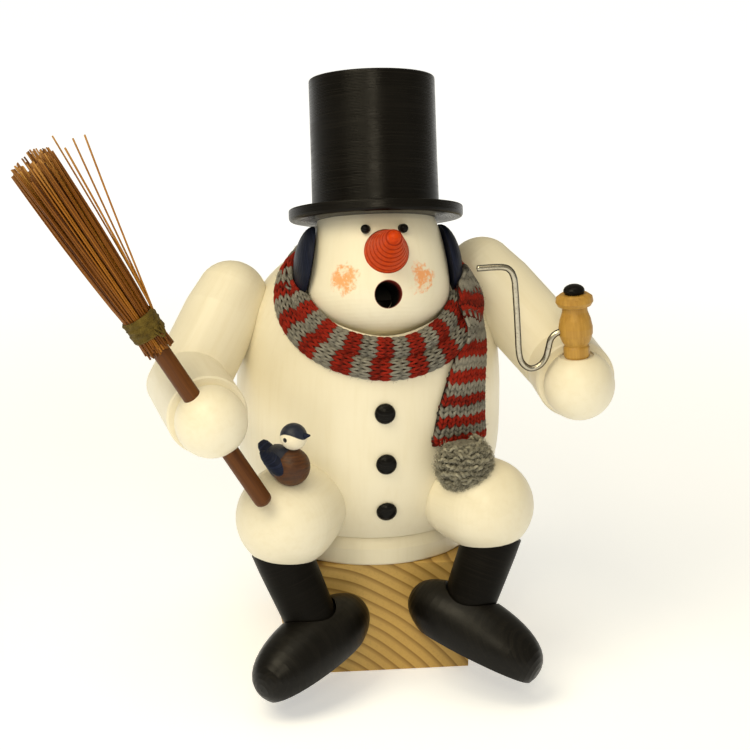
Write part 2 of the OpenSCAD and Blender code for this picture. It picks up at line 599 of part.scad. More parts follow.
module bird_head() { color(white) difference() { translate(bird_head_p) sphere(r = bird_head_r);
  bore(bird_head_p + 3.5 * bird_look, bird_head_p + 20 * bird_look, 1.2); } }
module bird_beak() { color(ink) along(bird_head_p + 3.6 * bird_look, bird_look) rotate_extrude()
    polygon([[0, 0], [1.2, 0], [1.2, 3.7], [1.7, 3.7], [0.5, 6.8], [0, 7]]); }
bird_side = [-bird_face[1], bird_face[0], 0];
module bird_wing(k) {
  color(navy) difference() {
    along(bird_p - 3.2 * bird_face + 6.2 * k * bird_side + [0, 0, 1.5], unit(-0.86 * bird_face + [0, 0, 0.42]))
      rotate_extrude() polygon(concat([for (i = [0:6]) let (a = -90 + 15 * i) [5.4 * cos(a), 8 * sin(a)]],
        [[5.2, 3], [4.2, 7], [2.8, 10.5], [1, 13], [0, 13.4]]));
    bird_egg(gap);
    translate(bird_head_p) sphere(r = bird_head_r + gap);
    thigh_solid(knee_R, thigh_dir_R, thigh_r, gap);
  }
}
module bird_wing_right() { bird_wing(-1); }
module bird_wing_left() { bird_wing(1); }
module bird_tail() {
  color(navy) difference() {
    along(bird_p - 9 * bird_face + [0, 0, 1], unit(-0.72 * bird_face + [0, 0, 0.70]))
      rotate_extrude() polygon([[0, 0], [5, 0], [4.6, 6], [3.2, 12], [2, 13.6], [0, 14]]);
    bird_egg(gap);
  }
}

seat_block();
base_plate();
incense_tray();
tray_screw();
body_shell();
head();
hat_brim();
hat_crown();
hat_dowel();
nose();
eye_right();
eye_left();
ear_muff_right();
ear_muff_left();
button_top();
button_middle();
button_bottom();
scarf_neck();
scarf_tail_front();
scarf_fringe_front();
scarf_tail_back();
scarf_fringe_back();
upper_arm_right();
forearm_right();
hand_right();
upper_arm_left();
forearm_left();
hand_left();
shoulder_dowels();
elbow_dowels();
wrist_dowels();
thigh_right();
thigh_left();
hip_dowels();
boot_shaft_right();
boot_shaft_left();
shoe_right();
shoe_left();
ankle_dowels();
broom_handle();
broom_bristles();
broom_binding();
broom_loose_fibres();
pipe_bowl();
pipe_cap();
pipe_stem();
bird_body();
bird_head();
bird_beak();
bird_wing_right();
bird_wing_left();
bird_tail();
bird_peg();
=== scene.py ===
"""Looks of the wooden snowman figure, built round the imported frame."""
import math

import bmesh
import bpy
import numpy as np
from mathutils import Matrix, Vector


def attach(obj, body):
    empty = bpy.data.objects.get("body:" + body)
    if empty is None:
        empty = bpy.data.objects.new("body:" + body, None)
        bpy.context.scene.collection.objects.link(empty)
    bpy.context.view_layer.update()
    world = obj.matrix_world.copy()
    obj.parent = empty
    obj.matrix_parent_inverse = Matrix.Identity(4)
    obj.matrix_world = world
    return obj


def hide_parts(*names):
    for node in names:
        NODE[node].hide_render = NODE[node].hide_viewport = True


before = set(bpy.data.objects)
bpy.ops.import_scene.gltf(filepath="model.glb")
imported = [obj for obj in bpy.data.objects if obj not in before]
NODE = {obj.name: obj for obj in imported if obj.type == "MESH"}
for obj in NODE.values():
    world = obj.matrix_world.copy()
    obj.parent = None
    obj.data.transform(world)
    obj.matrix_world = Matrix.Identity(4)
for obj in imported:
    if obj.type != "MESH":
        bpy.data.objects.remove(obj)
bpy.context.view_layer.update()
rng = np.random.RandomState(7)

# ---------------------------------------------------------------- camera
AZ, EL, ROLL = math.radians(-8.25), math.radians(16.0), math.radians(-0.65)
back = np.array([math.sin(AZ) * math.cos(EL), -math.cos(AZ) * math.cos(EL), math.sin(EL)])
right0 = np.array([math.cos(AZ), math.sin(AZ), 0.0])
up0 = np.cross(back, right0)
right = math.cos(ROLL) * right0 - math.sin(ROLL) * up0
up = math.sin(ROLL) * right0 + math.cos(ROLL) * up0
cam_data = bpy.data.cameras.new("camera")
cam_data.lens, cam_data.sensor_width = 96.0, 36.0
cam_data.clip_start, cam_data.clip_end = 0.05, 60.0
cam = bpy.data.objects.new("camera", cam_data)
bpy.context.scene.collection.objects.link(cam)
M = Matrix.Identity(4)
for i in range(3):
    M[i][0], M[i][1], M[i][2] = right[i], up[i], back[i]
M[0][3], M[1][3], M[2][3] = -0.1527, -1.0798, 0.4693
cam.matrix_world = M
bpy.context.scene.camera = cam


# ---------------------------------------------------------------- node helper
class Shader:
    """A material with a Principled shader and short calls for the nodes it uses."""

    def __init__(self, name):
        self.mat = bpy.data.materials.new(name)
        self.mat.use_nodes = True
        self.nt = self.mat.node_tree
        self.nt.nodes.clear()
        self.out = self.nt.nodes.new("ShaderNodeOutputMaterial")
        self.bsdf = self.nt.nodes.new("ShaderNodeBsdfPrincipled")
        self.nt.links.new(self.bsdf.outputs[0], self.out.inputs[0])
        self.tc = self.nt.nodes.new("ShaderNodeTexCoord")
        self.co = self.tc.outputs["Object"]

    def link(self, a, b):
        self.nt.links.new(a, b)

    def const(self, **kw):
        for k, v in kw.items():
            self.bsdf.inputs[k.replace("_", " ")].default_value = v

    def put(self, socket, value):
        if isinstance(value, bpy.types.NodeSocket):
            self.link(value, socket)
        elif isinstance(value, (tuple, list)):
            n = len(socket.default_value)
            socket.default_value = (list(value) + [1.0] * 4)[:n]
        else:
            socket.default_value = value

    def map(self, rot=(0, 0, 0), scale=(1, 1, 1), loc=(0, 0, 0), vec=None):
        turn = self.nt.nodes.new("ShaderNodeMapping")
        self.link(vec or self.co, turn.inputs[0])
        turn.inputs["Location"].default_value = loc
        turn.inputs["Rotation"].default_value = rot
        n = self.nt.nodes.new("ShaderNodeMapping")
        self.link(turn.outputs[0], n.inputs[0])
        n.inputs["Scale"].default_value = scale
        return n.outputs[0]

    def noise(self, scale, detail=3.0, rough=0.55, vec=None, distort=0.0):
        n = self.nt.nodes.new("ShaderNodeTexNoise")
        self.link(vec or self.co, n.inputs["Vector"])
        n.inputs["Scale"].default_value = scale
        n.inputs["Detail"].default_value = detail
        n.inputs["Roughness"].default_value = rough
        n.inputs["Distortion"].default_value = distort
        return n.outputs[0]

    def wave(self, scale, distort=0.0, detail=2.0, vec=None, kind="BANDS", direction="X", profile="SIN", dscale=1.0):
        n = self.nt.nodes.new("ShaderNodeTexWave")
        n.wave_type = kind
        if kind == "BANDS":
            n.bands_direction = direction
        else:
            n.rings_direction = direction
        n.wave_profile = profile
        self.link(vec or self.co, n.inputs["Vector"])
        n.inputs["Scale"].default_value = scale
        n.inputs["Distortion"].default_value = distort
        n.inputs["Detail"].default_value = detail
        n.inputs["Detail Scale"].default_value = dscale
        return n.outputs["Fac"]

    def voronoi(self, scale, vec=None, feature="F1"):
        n = self.nt.nodes.new("ShaderNodeTexVoronoi")
        n.feature = feature
        self.link(vec or self.co, n.inputs["Vector"])
        n.inputs["Scale"].default_value = scale
        return n.outputs["Distance"]

    def ramp(self, fac, stops, interp="LINEAR"):
        n = self.nt.nodes.new("ShaderNodeValToRGB")
        n.color_ramp.interpolation = interp
        els = n.color_ramp.elements
        while len(els) > 1:
            els.remove(els[-1])
        els[0].position, els[0].color = stops[0][0], (*stops[0][1], 1)
        for p, c in stops[1:]:
            e = els.new(p)
            e.color = (*c, 1)
        self.put(n.inputs[0], fac)
        return n.outputs[0]

    def mix(self, fac, a, b, blend="MIX"):
        n = self.nt.nodes.new("ShaderNodeMix")
        n.data_type = "RGBA"
        n.blend_type = blend
        n.clamp_factor = True
        self.put(n.inputs[0], fac)
        self.put(n.inputs[6], a)
        self.put(n.inputs[7], b)
        return n.outputs[2]

    def math(self, op, a, b=0.0, c=None, clamp=False):
        n = self.nt.nodes.new("ShaderNodeMath")
        n.operation = op
        n.use_clamp = clamp
        self.put(n.inputs[0], a)
        self.put(n.inputs[1], b)
        if c is not None:
            self.put(n.inputs[2], c)
        return n.outputs[0]

    def vmath(self, op, a, b=(0, 0, 0), out=0):
        n = self.nt.nodes.new("ShaderNodeVectorMath")
        n.operation = op
        self.put(n.inputs[0], a)
        self.put(n.inputs[1], b)
        return n.outputs[out]

    def dist(self, point):
        return self.vmath("DISTANCE", self.co, tuple(point), 1)

    def dot(self, point, direction):
        """Distance of the surface from a plane through point."""
        rel = self.vmath("SUBTRACT", self.co, tuple(point))
        return self.vmath("DOT_PRODUCT", rel, tuple(direction), 1)

    def ranged(self, v, a, b, lo=0.0, hi=1.0, smooth=True):
        n = self.nt.nodes.new("ShaderNodeMapRange")
        n.interpolation_type = "SMOOTHSTEP" if smooth else "LINEAR"
        n.clamp = True
        self.put(n.inputs[0], v)
        for i, x in zip((1, 2, 3, 4), (a, b, lo, hi)):
            n.inputs[i].default_value = x
        return n.outputs[0]

    def attr(self, name):
        n = self.nt.nodes.new("ShaderNodeAttribute")
        n.attribute_name = name
        return n.outputs["Fac"]

    def bump(self, height, strength=0.3, distance=0.0005, normal=None):
        n = self.nt.nodes.new("ShaderNodeBump")
        n.inputs["Strength"].default_value = strength
        n.inputs["Distance"].default_value = distance
        self.put(n.inputs["Height"], height)
        if normal is not None:
            self.link(normal, n.inputs["Normal"])
        return n.outputs[0]

    def done(self, color=None, rough=None, normal=None):
        if color is not None:
            self.put(self.bsdf.inputs["Base Color"], color)
        if rough is not None:
            self.put(self.bsdf.inputs["Roughness"], rough)
        if normal is not None:
            self.link(normal, self.bsdf.inputs["Normal"])
        return self.mat


def unit(v):
    v = np.asarray(v, float)
    return v / np.linalg.norm(v)


# ---------------------------------------------------------------- geometry of the figure, in millimetres
TILT = math.radians(17.7)
HEAD_O = np.array([0.0, -31.7, 226.2])
HA = np.array([0, math.sin(TILT), math.cos(TILT)])
HF = np.array([0, -math.cos(TILT), math.sin(TILT)])
HX = np.array([1.0, 0, 0])


def hp(h, x, f):
    return HEAD_O + h * HA + x * HX + f * HF


def body_rad(z):
    z = np.asarray(z, float)
    hi = 74.6 * np.sqrt(np.maximum(0, 1 - np.clip((z - 135) / 101, 0, 1) ** 3.25))
    lo = 74.6 * np.sqrt(np.maximum(0, 1 - np.clip((135 - z) / 84, 0, 1) ** 2.3))
    return np.where(z > 135, hi, lo)


def mm(p):
    return tuple(float(x) / 1000.0 for x in p)


# ---------------------------------------------------------------- materials
def turned(s, axis_point, axis_dir, pitch=0.0007, strength=0.10, wob=0.35):
    """Fine rings of a turned surface, about an axis."""
    h = s.dot(mm(axis_point), tuple(unit(axis_dir)))
    n1 = s.noise(900, 2, 0.5)
    phase = s.math("MULTIPLY", h, 2 * math.pi / pitch)
    phase = s.math("ADD", phase, s.math("MULTIPLY", n1, wob * 6))
    return s.math("SINE", phase)


def white_lacquer(name, axis_point, axis_dir, extra=None, grain=0.35):
    s = Shader(name)
    s.const(Specular_IOR_Level=0.35, Coat_Weight=0.12, Coat_Roughness=0.22, Subsurface_Weight=0.0)
    big = s.noise(14, 3, 0.5)
    fine = s.noise(160, 4, 0.6)
    a = unit(axis_dir)
    rot = Vector((0, 0, 1)).rotation_difference(Vector(a)).to_matrix().transposed().to_euler()
    along = s.map(rot=tuple(rot), scale=(260, 260, 24))
    streak = s.noise(1.0, 4, 0.6, vec=along)
    col = s.mix(s.ranged(big, 0.3, 0.72), (0.790, 0.725, 0.560), (0.830, 0.775, 0.620))
    col = s.mix(s.math("MULTIPLY", s.ranged(streak, 0.42, 0.75), grain), col, (0.74, 0.665, 0.48))
    col = s.mix(s.math("MULTIPLY", s.ranged(fine, 0.62, 0.80), 0.20), col, (0.71, 0.635, 0.47))
    rings = turned(s, axis_point, axis_dir)
    h = s.math("ADD", s.math("MULTIPLY", rings, 0.10), s.math("MULTIPLY", fine, 0.9))
    h = s.math("ADD", h, s.math("MULTIPLY", streak, 0.8))
    normal = s.bump(h, 0.16, 0.00025)
    rough = s.ranged(s.noise(60, 3, 0.6), 0.3, 0.7, 0.34, 0.46)
    if extra:
        col, rough = extra(s, col, rough)
    return s.done(col, rough, normal)


def black_lacquer(name, axis_point, axis_dir, base=(0.0034, 0.0028, 0.0020), r0=0.20, r1=0.32, lines=0.30, spec=0.20, pitch=0.0008):
    s = Shader(name)
    s.const(Specular_IOR_Level=spec, Coat_Weight=0.0, IOR=1.28)
    h = s.dot(mm(axis_point), tuple(unit(axis_dir)))
    a = unit(axis_dir)
    rot = Vector((0, 0, 1)).rotation_difference(Vector(a)).to_matrix().transposed().to_euler()
    # fine lines round the turning: stretched far round the axis, short along it and out from it
    rel = s.vmath("SUBTRACT", s.co, mm(axis_point))
    along = s.nt.nodes.new("ShaderNodeVectorMath")
    along.operation = "SCALE"
    along.inputs[0].default_value = tuple(a)
    s.link(h, along.inputs["Scale"])
    out = s.vmath("LENGTH", s.vmath("SUBTRACT", rel, along.outputs[0]), (0, 0, 0), 1)
    flat = s.nt.nodes.new("ShaderNodeCombineXYZ")
    s.link(s.math("MULTIPLY", s.math("ADD", out, h), 1500.0), flat.inputs[2])
    turned_co = s.vmath("ADD", s.map(rot=tuple(rot), scale=(22, 22, 0)), flat.outputs[0])
    streaks = s.noise(1.0, 5, 0.65, vec=turned_co)
    wide = s.noise(1.0, 3, 0.5, vec=s.map(rot=tuple(rot), scale=(12, 12, 230)))
    speck = s.noise(850, 3, 0.6)
    mott = s.noise(45, 4, 0.55)
    col = s.mix(s.ranged(streaks, 0.45, 0.72), base, tuple(min(1, b * 2.3) for b in base))
    col = s.mix(s.math("MULTIPLY", s.ranged(speck, 0.70, 0.80), 0.5), col, tuple(b * 5 for b in base))
    hh = s.math("ADD", s.math("MULTIPLY", streaks, 1.0), s.math("MULTIPLY", wide, 0.6))
    hh = s.math("ADD", hh, s.math("MULTIPLY", s.math("SINE", s.math("MULTIPLY", h, 2 * math.pi / pitch)), 0.15))
    hh = s.math("ADD", hh, s.math("MULTIPLY", speck, 0.5))
    normal = s.bump(hh, lines, 0.00035)
    rough = s.math("ADD", s.ranged(mott, 0.3, 0.7, r0, r1), s.math("MULTIPLY", s.ranged(streaks, 0.4, 0.7), 0.10))
    return s.done(col, rough, normal)


def wool(name, dark, light, sheen=(1.0, 0.9, 0.8)):
    s = Shader(name)
    s.const(Specular_IOR_Level=0.15, Sheen_Weight=0.12, Sheen_Roughness=0.5)
    s.bsdf.inputs["Sheen Tint"].default_value = (*sheen, 1)
    n = s.noise(420, 4, 0.7)
    fib = s.noise(2600, 3, 0.6)
    tone = s.attr("tone")
    f = s.math("ADD", s.math("MULTIPLY", n, 0.8), s.math("MULTIPLY", fib, 0.5))
    # the tone attribute shifts the colour: random yarn tone, and on the knitted stitches also painted shade where the
    # yarn dips
    f = s.math("ADD", f, s.math("MULTIPLY", s.math("SUBTRACT", tone, 0.5), 0.85))
    col = s.ramp(s.math("SUBTRACT", f, 0.15), [(0.25, dark), (0.62, light), (0.9, tuple(min(1, c * 1.45) for c in light))])
    normal = s.bump(s.math("ADD", fib, n), 0.75, 0.0004)
    return s.done(col, 0.95, normal)


def pine(name):
    s = Shader(name)
    s.const(Specular_IOR_Level=0.25)
    # growth rings about an axis that runs front to back, off to the lower left of the block
    p = s.vmath("SUBTRACT", s.co, (-0.063, 0.0, -0.073))
    wob = s.noise(9, 2, 0.5)
    sep = s.nt.nodes.new("ShaderNodeSeparateXYZ")
    s.link(p, sep.inputs[0])
    x, y, z = sep.outputs
    skew = s.math("ADD", x, s.math("MULTIPLY", y, 0.10))
    r = s.math("SQRT", s.math("ADD", s.math("MULTIPLY", skew, skew), s.math("MULTIPLY", z, z)))
    r = s.math("ADD", r, s.math("MULTIPLY", wob, 0.010))
    k = s.math("FRACT", s.math("MULTIPLY", r, 1 / 0.0060))
    late = s.ramp(k, [(0.0, (0, 0, 0)), (0.50, (0.10, 0.10, 0.10)), (0.80, (0.75, 0.75, 0.75)), (0.90, (1, 1, 1)), (0.96, (0.15, 0.15, 0.15)), (1.0, (0, 0, 0))])
    rays = s.noise(1.0, 4, 0.6, vec=s.map(scale=(900, 900, 900)))
    fibre = s.noise(1.0, 5, 0.65, vec=s.map(scale=(700, 30, 700)))
    large = s.noise(11, 3, 0.5)
    col = s.mix(s.ranged(large, 0.3, 0.7), (0.66, 0.440, 0.140), (0.57, 0.360, 0.100))
    col = s.mix(s.math("MULTIPLY", late, 0.86), col, (0.215, 0.105, 0.020))
    col = s.mix(s.math("MULTIPLY", s.ranged(fibre, 0.45, 0.75), 0.35), col, (0.40, 0.24, 0.075))
    col = s.mix(s.math("MULTIPLY", s.ranged(rays, 0.60, 0.8), 0.25), col, (0.33, 0.19, 0.06))
    h = s.math("ADD", s.math("MULTIPLY", late, 0.7), s.math("MULTIPLY", fibre, 0.8))
    h = s.math("ADD", h, s.math("MULTIPLY", rays, 0.5))
    return s.done(col, s.ranged(late, 0, 1, 0.62, 0.46), s.bump(h, 0.35, 0.0004))


def raw_wood(name, a, b, axis=(0, 0, 1), rough=(0.42, 0.58), scale=700, glossy=0.3, stretch=22):
    s = Shader(name)
    s.const(Specular_IOR_Level=glossy)
    rot = Vector((0, 0, 1)).rotation_difference(Vector(unit(axis))).to_matrix().transposed().to_euler()
    v = s.map(rot=tuple(rot), scale=(scale, scale, stretch))
    g = s.noise(1.0, 5, 0.65, vec=v)
    g2 = s.noise(1.0, 3, 0.5, vec=s.map(rot=tuple(rot), scale=(scale * 0.22, scale * 0.22, stretch * 0.6)))
    f = s.math("ADD", s.math("MULTIPLY", g, 0.65), s.math("MULTIPLY", g2, 0.35))
    col = s.ramp(f, [(0.32, b), (0.52, tuple((p + q) / 2 for p, q in zip(a, b))), (0.68, a)])
    pores = s.ranged(s.noise(1.0, 2, 0.5, vec=s.map(rot=tuple(rot), scale=(scale * 2.6, scale * 2.6, stretch * 5))), 0.66, 0.78)
    col = s.mix(s.math("MULTIPLY", pores, 0.45), col, tuple(c * 0.35 for c in b))
    return s.done(col, s.ranged(g, 0.3, 0.7, *rough), s.bump(s.math("SUBTRACT", f, s.math("MULTIPLY", pores, 0.4)), 0.3, 0.0003))


# head: dabbed cheeks and the painted mouth
def head_paint(s, col, rough):
    fine = s.noise(520, 4, 0.72)
    blot = s.noise(150, 3, 0.6)
    for c in (hp(-8.2, -22.5, 31.6), hp(-8.2, 19.8, 33.4)):
        d = s.dist(mm(c))
        d = s.math("ADD", d, s.math("MULTIPLY", s.math("SUBTRACT", blot, 0.5), 0.0200))
        near = s.ranged(d, 0.0086, 0.0058)
        dab = s.ranged(s.math("ADD", s.math("MULTIPLY", fine, 0.55), s.math("MULTIPLY", blot, 0.55)), 0.46, 0.58)
        col = s.mix(s.math("MULTIPLY", s.math("MULTIPLY", near, dab), 0.90), col, (0.86, 0.335, 0.105))
        col = s.mix(s.math("MULTIPLY", near, 0.16), col, (0.86, 0.42, 0.17))
    # mouth: distance from its axis, and how deep along it; the red paint of the bore darkens to near black deeper in,
    # as painted shade
    rel = s.vmath("SUBTRACT", s.co, mm(hp(-17, 0, 0)))
    f = s.vmath("DOT_PRODUCT", rel, tuple(HF), 1)
    axis = s.nt.nodes.new("ShaderNodeVectorMath")
    axis.operation = "SCALE"
    axis.inputs[0].default_value = tuple(HF)
    s.link(f, axis.inputs["Scale"])
    r = s.vmath("LENGTH", s.vmath("SUBTRACT", rel, axis.outputs[0]), (0, 0, 0), 1)
    inside = s.ranged(r, 0.00760, 0.00722)
    # painted shade: darker the deeper into the mouth's bore
    deep = s.ranged(f, 0.0345, 0.0235)
    mouth_paint_and_depth_shade = s.mix(deep, (0.20, 0.018, 0.010), (0.006, 0.004, 0.003))
    col = s.mix(inside, col, mouth_paint_and_depth_shade)
    rough = s.math("ADD", rough, s.math("MULTIPLY", inside, 0.25))
    return col, rough


M_HEAD = white_lacquer("head_lacquer", HEAD_O, HA, head_paint, 0.25)
M_BODY = white_lacquer("body_lacquer", (0, 0, 0), (0, 0, 1), None, 0.30)
shoulder_R, elbow_R, hand_R = np.array([-77, 0, 205.]), np.array([-103.6, -30, 163.]), np.array([-95, -97, 162.1])
shoulder_L, elbow_L, hand_L = np.array([63, -2, 216.]), np.array([104, -36, 171.5]), np.array([102.1, -82, 171.5])
M_ARM = {
    "upper_arm_right": white_lacquer("lacquer_upper_arm_right", shoulder_R, elbow_R - shoulder_R),
    "forearm_right": white_lacquer("lacquer_forearm_right", elbow_R, hand_R - elbow_R),
    "hand_right": white_lacquer("lacquer_hand_right", hand_R, hand_R - elbow_R),
    "upper_arm_left": white_lacquer("lacquer_upper_arm_left", shoulder_L, elbow_L - shoulder_L),
    "forearm_left": white_lacquer("lacquer_forearm_left", elbow_L, hand_L - elbow_L),
    "hand_left": white_lacquer("lacquer_hand_left", hand_L, hand_L - elbow_L),
    "thigh_right": white_lacquer("lacquer_thigh_right", (-52.3, -74, 101), (-.438, -.899, 0)),
    "thigh_left": white_lacquer("lacquer_thigh_left", (55, -73, 102.5), (.5, -.866, 0)),
    "base_plate": white_lacquer("lacquer_base", (0, 0, 0), (0, 0, 1)),
}
M_HAT = black_lacquer("hat_lacquer", HEAD_O, HA, lines=0.22, spec=0.34)
M_BOOT_R = black_lacquer("boot_lacquer_right", (-54.8, -78, 76.4), (.42, -.18, -1), lines=0.14, r0=0.32, r1=0.46)
M_BOOT_L = black_lacquer("boot_lacquer_left", (56, -77.5, 79), (-.38, -.18, -1), lines=0.14, r0=0.32, r1=0.46)
M_SHOE = black_lacquer("shoe_lacquer", (0, 0, 0), (0.3, -1, -0.2), lines=0.12, r0=0.28, r1=0.42, spec=0.50)
M_BEAD = black_lacquer("bead_lacquer", (0, 0, 0), (0, -1, 0.1), lines=0.12, r0=0.16, r1=0.26, base=(0.006, 0.0055, 0.005))
M_NAVY = black_lacquer("navy_lacquer", HEAD_O, (1, 0, 0), base=(0.0075, 0.0095, 0.020), lines=0.2, r0=0.34, r1=0.48)
M_PINE = pine("pine_block")
M_BOWL = raw_wood("pipe_wood", (0.56, 0.325, 0.062), (0.34, 0.175, 0.028), axis=(-.085, 0, 1), rough=(0.36, 0.5), scale=520)
M_BEECH = raw_wood("beech_dowel", (0.66, 0.44, 0.22), (0.50, 0.31, 0.14), axis=(0, 0, 1))
BROOM_P = np.array([-95.2, -100.5, 161.7])
BROOM_U = unit([-.533, 0, .846])
BROOM_E = np.array([.846, 0, .533])
BROOM_E = unit(BROOM_E - BROOM_E.dot(BROOM_U) * BROOM_U)
BROOM_Y = np.cross(BROOM_U, BROOM_E)
M_STICK = raw_wood("stained_stick", (0.155, 0.050, 0.006), (0.052, 0.015, 0.002), axis=BROOM_U, rough=(0.36, 0.55), scale=420, glossy=0.22, stretch=16)


def bird_paint(name, base_a, base_b, axis):
    s = Shader(name)
    s.const(Specular_IOR_Level=0.3)
    rings = s.noise(1.0, 4, 0.6, vec=s.map(scale=(160, 160, 900)))
    col = s.ramp(rings, [(0.35, base_b), (0.65, base_a)])
    # the navy mantle: back, flanks and tail
    h = s.dot(BIRD_MANTLE[0], BIRD_MANTLE[1])
    h = s.math("ADD", h, s.math("MULTIPLY", s.math("SUBTRACT", s.noise(240, 2, 0.5), 0.5), 0.0012))
    col = s.mix(s.ranged(h, -0.0002, 0.0002), col, (0.010, 0.014, 0.030))
    return s.done(col, s.ranged(rings, 0.3, 0.7, 0.42, 0.58), s.bump(rings, 0.25, 0.0003))


BIRD_P = np.array([-52.9, -87.1, 133.0])
BIRD_FACE = unit([0.786, -0.619, 0])
BIRD_SIDE = np.array([-BIRD_FACE[1], BIRD_FACE[0], 0])
BIRD_HEAD = BIRD_P + np.array([1.4, -0.4, 16.6])
BIRD_MANTLE = (mm(BIRD_P + np.array([0, 0, 1.5]) - 3.2 * BIRD_FACE), tuple(unit(-BIRD_FACE * 0.95 + np.array([0, 0, 0.42]))))
M_BIRD = bird_paint("bird_brown_paint", (0.095, 0.032, 0.007), (0.042, 0.014, 0.004), (0, 0, 1))


def bird_head_paint():
    s = Shader("bird_head_paint")
    s.const(Specular_IOR_Level=0.3)
    n = s.noise(260, 3, 0.6)
    # cap above a line that dips towards the beak and towards the nape
    rel_f = s.dot(mm(BIRD_HEAD), tuple(BIRD_FACE))
    rel_z = s.dot(mm(BIRD_HEAD), (0, 0, 1))
    f2 = s.math("MULTIPLY", s.math("ADD", rel_f, -0.0002), s.math("ADD", rel_f, -0.0002))
    line = s.math("ADD", s.math("MULTIPLY", f2, -62.0), 0.0026)
    edge = s.math("SUBTRACT", s.math("ADD", rel_z, s.math("MULTIPLY", s.math("SUBTRACT", n, 0.5), 0.0006)), line)
    col = s.mix(s.ranged(n, 0.35, 0.7), (0.78, 0.71, 0.55), (0.84, 0.78, 0.63))
    capc = s.mix(s.ranged(s.noise(330, 3, 0.6), 0.4, 0.7), (0.010, 0.014, 0.030), (0.022, 0.028, 0.048))
    col = s.mix(s.ranged(edge, -0.00015, 0.00015), col, capc)
    for k in (-1, 1):
        d = unit(BIRD_FACE * math.cos(math.radians(97)) + BIRD_SIDE * k * math.sin(math.radians(97)) + np.array([0, 0, -0.05]))
        e = s.dist(mm(BIRD_HEAD + 7.2 * d))
        col = s.mix(s.ranged(e, 0.00140, 0.00115), col, (0.006, 0.005, 0.005))
    return s.done(col, 0.42, s.bump(n, 0.2, 0.0002))


M_BIRD_HEAD = bird_head_paint()
M_MANTLE = black_lacquer("bird_navy_paint", BIRD_P, (0, 0, 1), base=(0.0085, 0.0115, 0.026), lines=0.3, r0=0.40, r1=0.55)


def carrot():
    s = Shader("carrot_lacquer")
    s.const(Specular_IOR_Level=0.12)
    nose_p = hp(5.2, 0, 34.6)
    nd = unit(HF + 0.17 * HA)
    h = s.dot(mm(nose_p), tuple(nd))
    k = s.math("FRACT", s.math("MULTIPLY", h, 7 / 0.029))
    groove_shade = s.math("MAXIMUM", s.ranged(k, 0.16, 0.0), s.ranged(k, 0.88, 1.0))
    n = s.noise(420, 3, 0.6)
    rot = Vector((0, 0, 1)).rotation_difference(Vector(nd)).to_matrix().transposed().to_euler()
    lines = s.noise(1.0, 4, 0.6, vec=s.map(rot=tuple(rot), scale=(60, 60, 2200)))
    col = s.mix(s.ranged(n, 0.35, 0.7), (0.560, 0.050, 0.0015), (0.430, 0.031, 0.0010))
    # painted shade: the ring grooves are darkened towards deep red-brown
    col = s.mix(s.math("MULTIPLY", groove_shade, 0.75), col, (0.15, 0.008, 0.001))
    return s.done(col, s.ranged(lines, 0.3, 0.7, 0.36, 0.5), s.bump(s.math("ADD", lines, s.math("MULTIPLY", n, 0.5)), 0.25, 0.0003))


M_CARROT = carrot()


def steel():
    s = Shader("steel_wire")
    s.const(Metallic=1.0)
    n = s.noise(500, 3, 0.6)
    lw = s.nt.nodes.new("ShaderNodeLayerWeight")
    lw.inputs["Blend"].default_value = 0.42
    # painted reflection and shade: the colour darkens from the wire's face to its silhouette, standing in for dark
    # surroundings mirrored in the steel
    edge_reflection_shade = s.ranged(lw.outputs["Facing"], 0.04, 0.42)
    col = s.mix(edge_reflection_shade, (0.46, 0.42, 0.33), (0.060, 0.052, 0.038))
    col = s.mix(s.math("MULTIPLY", s.ranged(n, 0.45, 0.7), 0.35), col, (0.22, 0.20, 0.16))
    return s.done(col, s.ranged(n, 0.3, 0.7, 0.18, 0.30), s.bump(n, 0.04, 0.0002))


def plain_metal(name, a, b, r=(0.3, 0.45)):
    s = Shader(name)
    s.const(Metallic=1.0)
    n = s.noise(600, 4, 0.6)
    return s.done(s.mix(s.ranged(n, 0.35, 0.7), a, b), s.ranged(n, 0.3, 0.7, *r), s.bump(n, 0.15, 0.0002))


M_STEEL = steel()
M_TRAY = plain_metal("tray_metal", (0.60, 0.60, 0.60), (0.72, 0.72, 0.71))
M_SCREW = plain_metal("screw_brass", (0.62, 0.46, 0.17), (0.72, 0.55, 0.24))
M_RED = wool("red_wool", (0.045, 0.0030, 0.0015), (0.205, 0.0105, 0.0042), (1.0, 0.35, 0.22))
M_GREY = wool("grey_wool", (0.036, 0.033, 0.028), (0.190, 0.180, 0.152), (1.0, 0.95, 0.85))
M_FRINGE = wool("fringe_wool", (0.070, 0.065, 0.050), (0.265, 0.248, 0.190), (1.0, 0.95, 0.85))


def bristle_mat():
    s = Shader("bristle")
    s.const(Specular_IOR_Level=0.22)
    tone = s.attr("tone")
    rot = Vector((0, 0, 1)).rotation_difference(Vector(BROOM_U)).to_matrix().transposed().to_euler()
    g = s.noise(1.0, 4, 0.6, vec=s.map(rot=tuple(rot), scale=(1500, 1500, 60)))
    f = s.math("ADD", s.math("MULTIPLY", tone, 0.75), s.math("MULTIPLY", g, 0.30))
    col = s.ramp(f, [(0.15, (0.052, 0.013, 0.001)), (0.42, (0.175, 0.056, 0.003)), (0.70, (0.320, 0.118, 0.009)), (0.92, (0.58, 0.30, 0.050))])
    t = s.dot(mm(BROOM_P), tuple(BROOM_U))
    tip = s.ranged(t, 0.140, 0.166)
    col = s.mix(s.math("MULTIPLY", tip, s.ranged(tone, 0.2, 0.9, 0.05, 0.55)), col, (0.50, 0.30, 0.10))
    return s.done(col, s.ranged(g, 0.3, 0.7, 0.36, 0.55), s.bump(g, 0.3, 0.0002))


